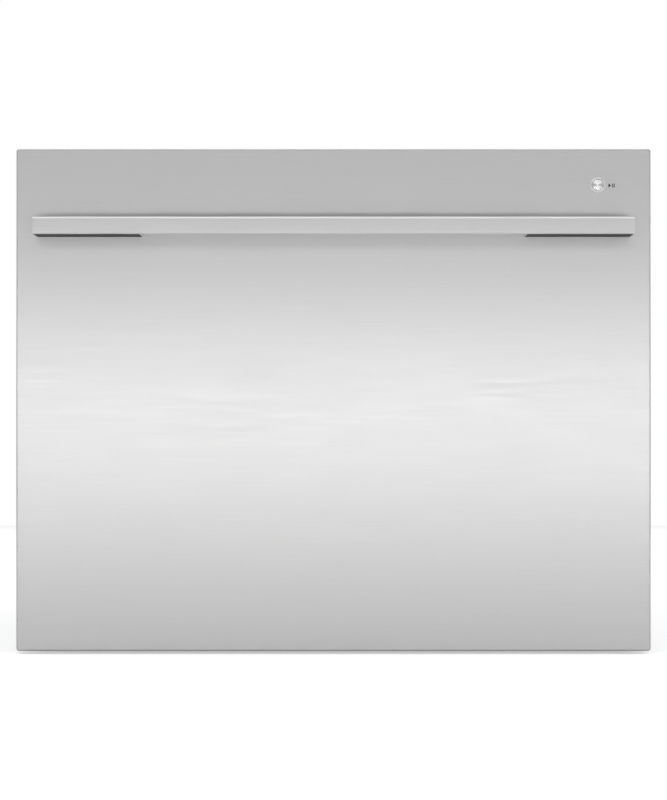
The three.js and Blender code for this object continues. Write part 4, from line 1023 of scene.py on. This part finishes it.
# Soft shoes on the four legs spare the tub's floor, and clips on the rim carry the cup shelves.
rack_plastic = moulded("moulded_rack_grey_nylon", "#666E75", 0.4, 0.5, 0.01)
SHOE = [(0, 89.4), (3.6, 89.4), (4.2, 90.2), (4.0, 99), (2.4, 101), (0, 101)]
shoes = bmesh.new()
for leg in legs:
    turned(shoes, SHOE, (*leg, 0), steps=20)
make("rack_shoes", shoes, rack_plastic, "drawer")

CUP = {"hinge": 240, "z": 262, "reach": 110, "front": -180, "back": 200}
CLIP_RING = [(2.7, -6), (2.7, 6), (4.4, 6), (4.9, 5.5), (4.9, -5.5), (4.4, -6)]
clips = bmesh.new()
clip_zs = (RACK["rim"] - 4.5, CUP["z"] - 1)
for side in (-1, 1):
    clip_xs = (side * (CUP["hinge"] + 1.5), side * (RACK["x"] + 4.5))
    for y in (CUP["front"] + 60, CUP["back"] - 60):
        post = block(clips, clip_xs, (y - 6, y + 6), clip_zs)
        post_edges = [e for e in clips.edges if e.verts[0] in post and e.verts[1] in post]
        soften(clips, 1, edges=post_edges)
        turned(clips, CLIP_RING, (side * CUP["hinge"], y, CUP["z"]), "y", 24, closed=True)
make("cup_shelf_clips", clips, rack_plastic, "drawer")

# ---------------------------------------------------------------- folding tines
# Three combs of upright wires hold plates on edge. Each turns down on its axle, which two moulded
# saddles hold to the rack's floor. The tips are rounded by the coating.
TINE = {"low": -180, "high": 108, "count": 9, "top": 205.2, "z": 129.2}
TIP = [(2.0, -5), (2.15, -3), (2.15, -1.6), (1.6, -0.6), (0.9, -0.1), (0, 0)]
WELD = [(2.1, 2.0), (3.0, 2.4), (2.4, 4.2), (2.0, 5.4)]
COLLAR = [(2.8, -4), (2.8, 4), (4.4, 4), (4.8, 3.6), (4.8, -3.6), (4.4, -4)]
saddles = bmesh.new()
for place, y in (("front", -150), ("middle", -30), ("rear", 90)):
    axle = [(TINE["low"] - 12.4, y, TINE["z"]), (TINE["high"] + 12.4, y, TINE["z"])]
    comb = [(axle, 2.5, False)]
    tips = bmesh.new()
    for x in spread(TINE["low"], TINE["high"], TINE["count"]):
        comb.append(([(x, y, TINE["z"]), (x, y, TINE["top"] - 2)], 2.0, False))
        turned(tips, TIP, (x, y, TINE["top"]), steps=12)
        turned(tips, WELD, (x, y, TINE["z"]), steps=12)
    wires(f"tine_comb_{place}", comb, f"{place}_tines", [f"tine_row_{place}"])
    make(f"tine_tips_{place}", tips, nylon_wire, f"{place}_tines")
    for x in (TINE["low"] + 18, TINE["high"] - 18):
        turned(saddles, COLLAR, (x, y, TINE["z"]), "x", 24, closed=True)
        block(saddles, (x - 4, x + 4), (y - 6.5, y + 6.5), (120, 125.6))
make("tine_saddles", saddles, rack_plastic, "drawer")

# ---------------------------------------------------------------- cup shelves
# Each shelf is a grid of the same coated wire. It hangs on the clips of the rack's rim, reaches
# towards the middle for cups, and folds up against the side to make room for tall plates.
for side, place in SIDES:
    hinge, tip, z = side * CUP["hinge"], side * (CUP["hinge"] - CUP["reach"]), CUP["z"]
    front, back = CUP["front"], CUP["back"]
    corners = [(hinge, front, z), (tip, front, z), (tip, back, z), (hinge, back, z)]
    shelf = [(bent(corners, 9, closed=True), MEDIUM, True)]
    shelf.append(([(hinge - side * 55, front, z), (hinge - side * 55, back, z)], MEDIUM, False))
    crossings = spread(front, back, 6)
    thick_and_thin = [(y, MEDIUM) for y in crossings[1:-1]] + [
        (y + 38, THIN) for y in crossings[:-1]
    ]
    for y, radius in thick_and_thin:
        shelf.append(([(hinge, y, z), (tip, y, z)], radius, False))
    wires(f"cup_shelf_{place}", shelf, f"{place}_cup_rack", [f"cup_rack_{place}"])

# ---------------------------------------------------------------- cutlery basket
# A moulded basket of open lattice with six pockets and a carrying grip. Solid bands stiffen its rim
# and foot. It stands on the rack's floor and lifts out.
CUTLERY = {"xs": (150, 235), "ys": (-195, 25), "zs": (127, 236), "wall": 2.5}
dark_grey_plastic = moulded("moulded_basket_grey_polypropylene", "#50575D", 0.45, 0.6, 0.012)
(x0, x1), (y0, y1), (z0, z1) = CUTLERY["xs"], CUTLERY["ys"], CUTLERY["zs"]
half_wall = CUTLERY["wall"] / 2
wall_xs = (x0 + half_wall, (x0 + x1) / 2, x1 - half_wall)
wall_ys = (y0 + half_wall, y0 + 73.75, y1 - 73.75, y1 - half_wall)
inside_xs, inside_ys = (x0 + 1, x1 - 1), (y0 + 1, y1 - 1)


def lattice_sheet(bm, us, vs, cells, place):
    """A flat sheet of square openings, drawn in X and Y and then put in place."""
    before = set(bm.faces)
    flat = place @ spanning(us, vs)
    bmesh.ops.create_grid(bm, x_segments=cells[0], y_segments=cells[1], size=0.5, matrix=flat)
    pierced(bm, [f for f in bm.faces if f not in before], 1.3)


lattice = bmesh.new()
lattice_zs = (z0 + 7, z1 - 9)
for y in wall_ys:
    across_basket = Matrix.Translation((0, y, 0)) @ UPRIGHT
    lattice_sheet(lattice, inside_xs, lattice_zs, (10, 11), across_basket)
for x in wall_xs:
    along_basket = Matrix.Translation((x, 0, 0)) @ TO_RIGHT
    lattice_sheet(lattice, inside_ys, lattice_zs, (26, 11), along_basket)
lattice_sheet(lattice, inside_xs, inside_ys, (10, 26), Matrix.Translation((0, 0, z0 + 1.2)))
make(
    "cutlery_basket_lattice",
    lattice,
    dark_grey_plastic,
    "drawer",
    ["cutlery_basket"],
    wall=1.8,
    outward=0,
)
bandwork = bmesh.new()
for low, high in ((z0, z0 + 8), (z1 - 10, z1)):
    outer = ((x0, x1), (y0, y1), 5)
    inner = ((x0 + 2.5, x1 - 2.5), (y0 + 2.5, y1 - 2.5), 2.8)
    band = [(*outer, low), (*outer, high), (*inner, high), (*inner, low)]
    lofted(bandwork, band, 4, closed=True)
for zs in ((z0, z0 + 8), (z1 - 10, z1 - 0.4)):
    block(bandwork, (wall_xs[1] - half_wall, wall_xs[1] + half_wall), inside_ys, zs)
    for y in wall_ys[1:-1]:
        block(bandwork, inside_xs, (y - half_wall, y + half_wall), zs)
POST = 1.6
for x in wall_xs:
    for y in wall_ys:
        block(bandwork, (x - POST, x + POST), (y - POST, y + POST), (z0 + 1, z1 - 1))
soften(bandwork, 0.4, 1)
make("cutlery_basket_bands", bandwork, dark_grey_plastic, "drawer")
grip = bmesh.new()
low, high = z1 - 4, z1 + 15
arch = ((y0 + 63, low), (y0 + 63, high), (y1 - 63, high), (y1 - 63, low))
route = bent([(wall_xs[1], y, z) for y, z in arch], 14, 6)
for near, far in zip(route, route[1:]):
    lie = far - near
    turn = lie.to_track_quat("Z", "X").to_matrix().to_4x4()
    size = Matrix.Diagonal((7.6, 5.6, lie.length + 1.6, 1))
    link_place = Matrix.Translation((near + far) / 2) @ turn @ size
    bmesh.ops.create_cube(grip, size=1, matrix=link_place)
soften(grip, 1.4, 3)
make("cutlery_basket_grip", grip, dark_grey_plastic, "drawer")

# ---------------------------------------------------------------- dispenser
# The dispenser fills a hole in the front wall of the tub, behind the steel front. Its moulded face
# holds the detergent cup with a sprung flap, and the filler for rinse aid with a quarter-turn cap.
pale_grey_plastic = moulded("moulded_pale_grey_polypropylene", "#D3D6D6", 0.4, 0.7, 0.012)
dress("detergent_dispenser", pale_grey_plastic, 0.8, 3)
FACE_IN = -217.7
# A sheet drawn in X and Y stands up, with its face into the tub.
INWARD = Matrix.Rotation(math.radians(-90), 4, "X") @ Matrix.Diagonal((1, -1, 1, 1))
on_dispenser = Matrix.Translation((0, FACE_IN, 0)) @ INWARD
CAP_CENTRE = (36, FACE_IN, 340)
trim = bmesh.new()
outer_loop = ((-71, -3), (301, 379), 7)
inner_loop = ((-68.6, -5.4), (303.4, 376.6), 5)
frame_loops = [(*outer_loop, -0.1), (*outer_loop, 1.6), (*inner_loop, 1.6), (*inner_loop, -0.1)]
lofted(trim, frame_loops, 5, on_dispenser, closed=True)
cap_rim = [(17.6, -0.1), (17.6, 1.4), (18.2, 2.0), (20.4, 2.0), (21, 1.4), (21, -0.1)]
turned(trim, cap_rim, CAP_CENTRE, "y", closed=True)
for n in range(5):
    block(trim, (14, 58), (FACE_IN - 0.1, FACE_IN + 1), (304 + 3.6 * n, 305.4 + 3.6 * n))
soften(trim, 0.3)
make("dispenser_trim", trim, pale_grey_plastic, "drawer")

flap = bmesh.new()
flap_face = Matrix.Translation((0, FACE_IN + 0.3, 0)) @ INWARD
prism(flap, (-68, -6), (304, 376), (0, 4), 5, 5, flap_face)
soften(flap, 0.8, 3, edges_where(flap, lambda at: at.y > FACE_IN + 4))
for n in range(7):
    block(flap, (-60 + 7 * n, -58 + 7 * n), (FACE_IN + 4, FACE_IN + 5), (314, 352))
prism(flap, (-44, -30), (365, 373), (3.5, 7), 2, 3, flap_face)
soften(flap, 0.3, edges=edges_where(flap, lambda at: at.y > FACE_IN + 4.9))
make("dispenser_flap", flap, pale_grey_plastic, "detergent_flap", ["detergent_flap"])

cap = bmesh.new()
cap_profile = [(0, 0.3), (16.4, 0.3), (17, 0.9), (17, 3.4), (16.2, 4.3), (13, 4.3), (12, 3.6)]
turned(cap, [*cap_profile, (0, 3.6)], CAP_CENTRE, "y", 64)
blocks_round(cap, shares(28), (16.4, 17.0), (0.6, 3.6), (-0.6, 0.6), CAP_CENTRE, "Y")
prism(cap, (21.5, 50.5), (337.2, 342.8), (3.2, 10), 2.6, 5, on_dispenser)
soften(cap, 0.5, edges=edges_where(cap, lambda at: at.y > FACE_IN + 9))
make("rinse_cap", cap, mid_grey_plastic, "rinse_aid_cap", ["rinse_aid_cap"])

# ---------------------------------------------------------------- runners
# Each side has three nested channels of rolled, bright zinc-plated steel. Balls in a cage run
# between them. Rubber stops end the travel, and round heads hold the inner channels to the tub.
def plated(name, light, dark, roughness, grain):
    """Rolled sheet with bright zinc: fine rolling lines along Y under a thin blue-white skin."""
    material, tree, shader, place = finish(name, light, roughness, 1.0)
    lines = node(tree, "ShaderNodeMapping", {"Scale": grain}, {"Vector": place})
    roll = node(tree, "ShaderNodeTexNoise", {"Scale": 1.0, "Detail": 4.0}, {0: lines.outputs[0]})
    smear = node(tree, "ShaderNodeTexNoise", {"Scale": 30.0, "Detail": 2.0}, {0: place})
    rolled, smeared = roll.outputs["Fac"], smear.outputs["Fac"]
    weigh = {"operation": "MULTIPLY_ADD", 1: 0.6}
    both = node(tree, "ShaderNodeMath", weigh, {0: rolled, 2: smeared})
    vary(
        tree,
        shader,
        (0.2, 0.02, rolled),
        (linear(light), linear(dark), both.outputs[0]),
        (0.3, 0.8, roughness - 0.06, roughness + 0.08, smeared),
    )
    return material


bright_zinc = plated("bright_zinc_plated_steel", "#D5D8DB", "#B4B9BE", 0.28, (900, 12, 900))
stop_rubber = moulded("moulded_black_rubber", "#222224", 0.78, 1.2, 0.03, 0.15)
runner_ys = (-235.5, 242.5)
RUNNER_Z = 252.5
# Radius as a share of the head's, and height as a share of its rise, from the recess outwards.
HEAD = [(0, 0.25), (0.32, 0.25), (0.36, 0.9), (0.72, 0.8), (0.95, 0.35), (1, 0), (0, 0)]


def pan_heads(name, places, axis, out, radius, body="cabinet"):
    """Low round heads with a recess: screws and rivets, each at a place on the axis they face."""
    heads = bmesh.new()
    rise = out * radius * 0.55
    for spot in places:
        turned(heads, [(radius * r, rise * h) for r, h in HEAD], spot, axis, 20)
    make(name, heads, bright_zinc, body, crease=50)


for side, place in SIDES:
    for part in ("outer", "middle", "inner"):
        dress(f"{place}_runner_{part}", bright_zinc, 0.35)
    # The stops sit at the front mouth and the back end of the channels.
    stops = bmesh.new()
    stop_xs = (side * 294.2, side * 288.2)
    for y in (runner_ys[0] + 2, runner_ys[1] - 9):
        for zs in ((14.6, 19.6), (-19.6, -14.6)):
            block(stops, stop_xs, (y, y + 7), (RUNNER_Z + zs[0], RUNNER_Z + zs[1]))
    soften(stops, 0.6)
    make(f"{place}_runner_stops", stops, stop_rubber, "cabinet")
    balls = bmesh.new()
    ball = {"u_segments": 12, "v_segments": 8, "radius": 0.55}
    for y in spread(-40, 200, 13):
        for rise in (-20.4, 20.4):
            spot = Matrix.Translation((side * 290, y, RUNNER_Z + rise))
            bmesh.ops.create_uvsphere(balls, matrix=spot, **ball)
    make(f"{place}_runner_balls", balls, bright_zinc, f"{place}_runner")
    screws = [
        (side * 264.2, y, RUNNER_Z + rise) for y in (-205, -60, 90, 215) for rise in (-18, 18)
    ]
    pan_heads(f"{place}_rail_screws", screws, "x", side, 4.2, "drawer")

# ---------------------------------------------------------------- hose link
# Two carriers of black nylon fold sideways behind the tub and stretch out as the drawer opens. Each
# is an open channel with snap-on bridges that would hold the hoses and wires down.
black_nylon = moulded("moulded_black_nylon", "#1E1F21", 0.45, 0.8, 0.02)
ELBOW = 470  # millimetres from each arm's pin to the elbow
link_angle = math.asin((LINK["rear_y"] - LINK["tub_y"]) / 2 / ELBOW)
for place, pivot_y, low, tilt in (
    ("rear", LINK["rear_y"], LINK["low"], -link_angle),
    ("front", LINK["tub_y"], LINK["low"] + LINK["height"] + 2, link_angle),
):
    dress(f"hose_link_{place}_arm", black_nylon, 0.6)
    bridges = bmesh.new()
    for n in range(7):
        x = 46 + 62 * n
        block(bridges, (x, x + 9), (-10.6, 10.6), (16.2, 18.3))
        for ys in ((-11, -8.6), (8.6, 11)):
            block(bridges, (x + 2, x + 7), ys, (10, 18))
    soften(bridges, 0.5)
    swing = Matrix.Translation((LINK["x"], pivot_y, low)) @ Matrix.Rotation(tilt, 4, "Z")
    bmesh.ops.transform(bridges, matrix=swing, verts=bridges.verts)
    make(f"hose_link_{place}_bridges", bridges, black_nylon, f"{place}_link")

# ---------------------------------------------------------------- lid and its lift
# The lid is a shallow ribbed moulding that hangs over the tub's rim. Two small gear motors lower it
# through a pinion and a toothed bar on each side, and its rubber seal lands on the rim.
dress("lid", pale_grey_plastic, 0.8)
LID = {"half": 273, "ys": (-235, 259), "low": 438, "high": 456}
rib_zs = (LID["low"] + 3, LID["high"] - 5)
RIB = 1.25  # half of a rib's thickness
ribs = bmesh.new()
for x in (-180, -90, 90, 180):
    block(ribs, (x - RIB, x + RIB), (LID["ys"][0] + 3, LID["ys"][1] - 3), rib_zs)
for y in (-120, -50, 75, 145):
    block(ribs, (-LID["half"] + 3, LID["half"] - 3), (y - RIB, y + RIB), rib_zs)
turned(ribs, [(30, 441), (30, 452), (33, 452), (33, 441)], CENTRE, closed=True)
soften(ribs, 0.3, 1)
make("lid_ribs", ribs, pale_grey_plastic, "lid")

# The seal's section, as steps in from its outer edge and heights: a flat back and two soft lips.
SEAL_BACK = [(0, 437.7), (10, 437.7), (10, 436.2), (8.4, 435)]
SEAL_LIP = [(8.8, 433), (7, 431.8), (4.8, 432.6), (4, 435)]
SEAL_SMALL_LIP = [(2.4, 435), (1.6, 433.4), (0.6, 433.6), (0, 435)]
seal = bmesh.new()
levels = []
for step, height in SEAL_BACK + SEAL_LIP + SEAL_SMALL_LIP:
    x, ys = LID["half"] - 2 - step, (LID["ys"][0] + step, LID["ys"][1] - step)
    levels.append(((-x, x), ys, 48 - step, height))
lofted(seal, levels, 8, closed=True)
make("lid_lip_seal", seal, stop_rubber, "lid", ["lid_seal"])

for side, place in SIDES:
    dress(f"lid_actuator_{place}", white_nylon, 0.8)
    dress(f"lid_pinion_{place}", white_nylon, 0.15, 1)
    cover = bmesh.new()
    for n in range(5):
        z = 430 + 6 * n
        block(cover, (side * 283.3, side * 282.7), (23, 40), (z, z + 2.4))
    block(cover, (side * 283.3, side * 290), (43.8, 50), (430, 444))
    soften(cover, 0.25, 1)
    make(f"lid_motor_details_{place}", cover, white_nylon, "cabinet")
    spots = [(side * 283.1, y, z) for y in (-10, 40) for z in (428, 460)]
    pan_heads(f"lid_motor_screws_{place}", spots, "x", -side, 2.2)

# ---------------------------------------------------------------- cabinet shell
# The case is folded from galvanised sheet, 1.2 to 1.5 mm thick, with the spangle of hot-dip zinc.
# Shallow recesses are pressed into the walls to keep them from drumming.
CABINET = {"half": 297.5, "front": -239.5, "back": 308.5, "low": 12, "high": 470, "sheet": 1.5}


def galvanised(name, light, dark):
    """Hot-dip zinc: flat crystals about 12 mm across, each with its own grey and gloss."""
    material, tree, shader, place = finish(name, light, 0.42, 1.0)
    crystals = {"Scale": 85.0, "Randomness": 1.0}
    spangle = node(tree, "ShaderNodeTexVoronoi", crystals, {"Vector": place})
    crystal = node(tree, "ShaderNodeSeparateColor", links={0: spangle.outputs["Color"]})
    cloud = node(tree, "ShaderNodeTexNoise", {"Scale": 9.0, "Detail": 4.0}, {0: place})
    weigh = {"operation": "MULTIPLY_ADD", 1: 0.55}
    both = node(tree, "ShaderNodeMath", weigh, {0: crystal.outputs[0], 2: cloud.outputs["Fac"]})
    share = node(tree, "ShaderNodeMapRange", {1: 0.3, 2: 1.2}, {0: both.outputs[0]})
    vary(
        tree,
        shader,
        (0.15, 0.03, crystal.outputs[0]),
        (linear(light), linear(dark), share.outputs[0]),
        (0.0, 1.0, 0.34, 0.5, crystal.outputs[1]),
    )
    return material


zinc_sheet = galvanised("hot_dip_galvanised_sheet", "#C3C7CA", "#A2A7AB")


def pressed(bm, xs, ys, recesses, depth, place, holes=()):
    """A flat sheet with rounded recesses pressed to a depth and with open holes, put in place."""
    before = set(bm.verts)
    edges = []
    for kind, outlines in (("edge", [(xs, ys, 0)]), ("recess", recesses), ("hole", holes)):
        for span_x, span_y, radius in outlines:
            face = plate(bm, span_x, span_y, radius, 9 if kind == "recess" else 6)
            edges += face.edges[:]
            if kind == "recess":
                sunk = bmesh.ops.extrude_face_region(bm, geom=[face])["geom"]
                sink(bm, only(sunk, bmesh.types.BMVert), span_x, span_y, depth)
            bmesh.ops.delete(bm, geom=[face], context="FACES_ONLY")
    bmesh.ops.triangle_fill(bm, use_beauty=True, edges=edges)
    put(bm, before, place)


def sink(bm, verts, span_x, span_y, depth):
    """Presses the floor of a recess in and draws it together, so that its walls slope."""
    run = abs(depth) * 2.2
    wide, tall = span_x[1] - span_x[0], span_y[1] - span_y[0]
    shrink = Vector(((wide - 2 * run) / wide, (tall - 2 * run) / tall, 1))
    to_middle = Matrix.Translation((-sum(span_x) / 2, -sum(span_y) / 2, 0))
    bmesh.ops.scale(bm, vec=shrink, space=to_middle, verts=verts)
    bmesh.ops.translate(bm, vec=(0, 0, depth), verts=verts)


def case_sheet(name, bm, solid, bend=1.2, wall=CABINET["sheet"]):
    """Rounds the bends and slopes of a sheet of the case and gives it its thickness."""
    bmesh.ops.recalc_face_normals(bm, faces=bm.faces)
    soften(bm, bend, 3, sharper=18)
    make(name, bm, zinc_sheet, "cabinet", [solid], wall=wall)


case_ys = (CABINET["front"], CABINET["back"])
case_zs = (CABINET["low"], CABINET["high"] - 1.8)
FLANGE = 15
for side, place in SIDES:
    wall = bmesh.new()
    x = side * CABINET["half"]
    recesses = [(ys, (300, 440), 16) for ys in ((-205, -24), (60, 275))]
    recesses.append(((-205, 275), (60, 195), 16))
    onto_side = Matrix.Translation((x, 0, 0)) @ TO_RIGHT
    pressed(wall, case_ys, case_zs, recesses, -side * 2.2, onto_side)
    for edge_z in case_zs:
        inwards = Matrix.Translation((x, 0, edge_z)) @ Matrix.Diagonal((-side, 1, 1, 1))
        plate(wall, (0, FLANGE), case_ys, place=inwards)
    bmesh.ops.remove_doubles(wall, verts=wall.verts, dist=0.01)
    case_sheet(f"{place}_side_sheet", wall, f"{place}_side_panel")
    edge_ys = (case_ys[0] + 12, case_ys[1] - 12)
    spots = [(side * 297.3, y, z) for y in edge_ys for z in (40, 250, 455)]
    spots += [(side * 297.3, y, RUNNER_Z) for y in (-120, 40, 200)]
    pan_heads(f"{place}_side_screws", spots, "x", side, 3.4)

# The back wall has the window for the services, and a folded stand with a pin for the hose link.
back = bmesh.new()
recesses = [((-270, -40), (190, 300), 14), ((40, 270), (190, 300), 14)]
recesses += [((-270, 270), (332, 430), 14), ((-270, 20), (38, 106), 14)]
service_window = ((50, 278), (34, 104), 8)
on_rear = Matrix.Translation((0, CABINET["back"], 0)) @ UPRIGHT
pressed(back, (-295.7, 295.7), (16, 465), recesses, 2, on_rear, [service_window])
case_sheet("rear_sheet", back, "rear_panel")
stand = bmesh.new()
stand_back = CABINET["back"] - 1.4
stand_xs = (LINK["x"] - 14, LINK["x"] + 14)
block(stand, stand_xs, (280, stand_back), (136, 138))
block(stand, stand_xs, (stand_back - 2, stand_back), (116, 137))
for x in (stand_xs[0], stand_xs[1] - 2):
    block(stand, (x, x + 2), (284, stand_back), (132, 137))
soften(stand, 0.7)
pin, pin_top = LINK["pin"], LINK["low"] + LINK["height"] - 1
pin_profile = [(0, 137), (pin, 137), (pin, pin_top - 0.8), (pin - 0.8, pin_top), (0, pin_top)]
turned(stand, pin_profile, (LINK["x"], LINK["rear_y"], 0), steps=32)
make("hose_link_stand", stand, bright_zinc, "cabinet")
screw_places = [(x, z) for x in (-286, 286) for z in (40, 160, 316, 450)]
screw_places += [(x, 450) for x in (-143, 0, 143)]
screw_places += [(LINK["x"] + step, 124) for step in (-8, 8)]
pan_heads("rear_screws", [(x, CABINET["back"], z) for x, z in screw_places], "y", 1, 3.2)

# The roof lies on the flanges of the sides. Three long ribs are pressed down into it.
roof = bmesh.new()
roof_ribs = [((x - 12, x + 12), (-150, 230), 11.5) for x in (-150, 0, 150)]
roof_xs, roof_ys = (-CABINET["half"], CABINET["half"]), (-211.5, CABINET["back"])
pressed(roof, roof_xs, roof_ys, roof_ribs, -2.5, Matrix.Translation((0, 0, CABINET["high"])))
case_sheet("roof_sheet", roof, "top_cover", 1.0, 1.2)
roof_screws = [(x, y, CABINET["high"]) for x in (-289, 289) for y in (-195, -30, 130, 292)]
pan_heads("roof_screws", roof_screws, "z", 1, 3.2)
dress("front_top_rail", zinc_sheet, 0.5)

# ---------------------------------------------------------------- base tray and feet
# A black moulded tray closes the bottom and catches drips. It is crossed by low ribs, and its four
# bosses hold the screws of the feet. Each foot has a hexagon for a spanner over its round pad.
black_tray = moulded("moulded_black_polypropylene", "#1C1D1F", 0.5, 1.0, 0.03)
dress("base_tray", black_tray, 0.7)
TRAY_RIB_ZS = (16.2, 21)
tray_ribs = bmesh.new()
for x in spread(-220, 220, 9):
    block(tray_ribs, (x - 1, x + 1), (-236, 304), TRAY_RIB_ZS)
for y in spread(-170, 240, 8):
    block(tray_ribs, (-293, 293), (y - 1, y + 1), TRAY_RIB_ZS)
soften(tray_ribs, 0.4, 1)
make("base_tray_ribs", tray_ribs, black_tray, "cabinet")

PAD = [(0, 0), (16.8, 0), (17.8, 0.9), (17.8, 2.4), (16.6, 3.6), (13, 4.2), (0, 4.2)]
PITCH, TURNS = 1.25, 23
thread = [(0, 8.4), (6.6, 8.4), (6.6, 9), (3.5, 9.2)]
for n in range(TURNS):
    low = 9.6 + PITCH * n
    thread += [(3.45, low), (3.95, low + 0.55), (3.95, low + 0.7)]
thread += [(3.4, 38.4), (2.8, 39), (0, 39)]
for end, y in (("front", -205), ("rear", 272)):
    for side, hand in SIDES:
        place, x = f"{end}_{hand}", side * 262
        foot = bmesh.new()
        turned(foot, PAD, (x, y, 0))
        bmesh.ops.create_cone(
            foot,
            cap_ends=True,
            segments=6,
            radius1=13.6,
            radius2=13.6,
            depth=4.8,
            matrix=Matrix.Translation((x, y, 6.2)),
        )
        soften(foot, 0.5)
        solid = f"levelling_foot_{place}"
        make(f"foot_pad_{place}", foot, black_tray, f"foot_{place}", [solid])
        screw = bmesh.new()
        turned(screw, thread, (x, y, 0), steps=24)
        make(f"foot_screw_{place}", screw, bright_zinc, f"foot_{place}")

# ---------------------------------------------------------------- services at the back
# The fill valve has a coil in a steel yoke and a threaded union. The drain spigot is barbed, and
# the mains box has a screwed lid and a gland with a ribbed nut.
dress("water_inlet_valve", white_nylon, 0.7)
dress("drain_outlet", dark_glass_nylon, 0.6)
dress("mains_inlet_box", dark_glass_nylon, 0.7)
INLET, DRAIN, GLAND = (240, 0, 70), (170, 0, 52), (92, 0, 72)
union = bmesh.new()
ridges = []
for n in range(8):
    y = 289.6 + 1.8 * n
    ridges += [(12.7, y), (13.25, y + 0.7), (13.25, y + 0.95), (12.7, y + 1.6)]
turned(union, [(12.2, 289.4), *ridges, (12.2, 304.4)], INLET, "y", closed=True)
make("inlet_thread", union, white_nylon, "cabinet")
sieve = bmesh.new()
turned(sieve, [(0, 296), (7.6, 296), (7.6, 300), (6.8, 300), (6.8, 297), (0, 297)], INLET, "y", 32)
turned(sieve, [(8.4, 303.4), (12, 303.4), (12, 304.6), (8.4, 304.6)], INLET, "y", 40, closed=True)
make("inlet_sieve_and_washer", sieve, stop_rubber, "cabinet")
coil = bmesh.new()
COIL = (240, 275, 0)
winding = [(0, 86), (13.6, 86), (14.2, 86.6), (14.2, 106.4), (13.6, 107), (0, 107)]
turned(coil, winding, COIL, steps=40)
for x in (234.5, 242.5):
    block(coil, (x, x + 3.2), (287, 292), (97, 103))
soften(coil, 0.4)
make("inlet_coil", coil, dark_glass_nylon, "cabinet")
yoke = bmesh.new()
for zs in ((84.2, 85.8), (107.4, 109)):
    block(yoke, (224, 256), (266, 284), zs)
for x in (224, 254.4):
    block(yoke, (x, x + 1.6), (268, 282), (84.4, 108.8))
soften(yoke, 0.4)
turned(yoke, [(0, 108.9), (4.4, 108.9), (4.4, 110), (3.6, 110.6), (0, 110.6)], COIL, steps=24)
for x in (235.6, 243.7):
    block(yoke, (x, x + 0.8), (291.6, 299), (98.4, 101.6))
make("inlet_coil_yoke", yoke, bright_zinc, "cabinet")

barbs = bmesh.new()
for y in (289, 293.2, 301):
    barb = [(10.3, y), (11.9, y), (12, y + 0.5), (10.4, y + 2.6)]
    turned(barbs, barb, DRAIN, "y", 40, closed=True)
make("drain_barbs", barbs, dark_glass_nylon, "cabinet")

gland = bmesh.new()
blocks_round(gland, shares(18), (11.2, 12.1), (298, 303), (-0.8, 0.8), GLAND, "Y")
dome = [(11.4, 298), (11.4, 302.6), (9.4, 304.4), (7.6, 304.4), (7.6, 298)]
turned(gland, dome, GLAND, "y", 40, closed=True)
lid_place = Matrix.Translation((0, 293.2, 0)) @ UPRIGHT
prism(gland, (66, 118), (52, 92), (0, 1.4), 3, place=lid_place)
soften(gland, 0.3)
make("mains_gland_and_lid", gland, dark_glass_nylon, "cabinet")
grommet = bmesh.new()
grommet_profile = [(4.1, 300), (7.5, 300), (7.5, 304), (5.2, 304.2), (4.1, 303)]
turned(grommet, grommet_profile, GLAND, "y", 32, closed=True)
make("mains_gland_seal", grommet, stop_rubber, "cabinet")
box_screws = [(x, 293.1, z) for x in (69.5, 114.5) for z in (55.5, 88.5)]
pan_heads("mains_box_screws", box_screws, "y", 1, 2.0)
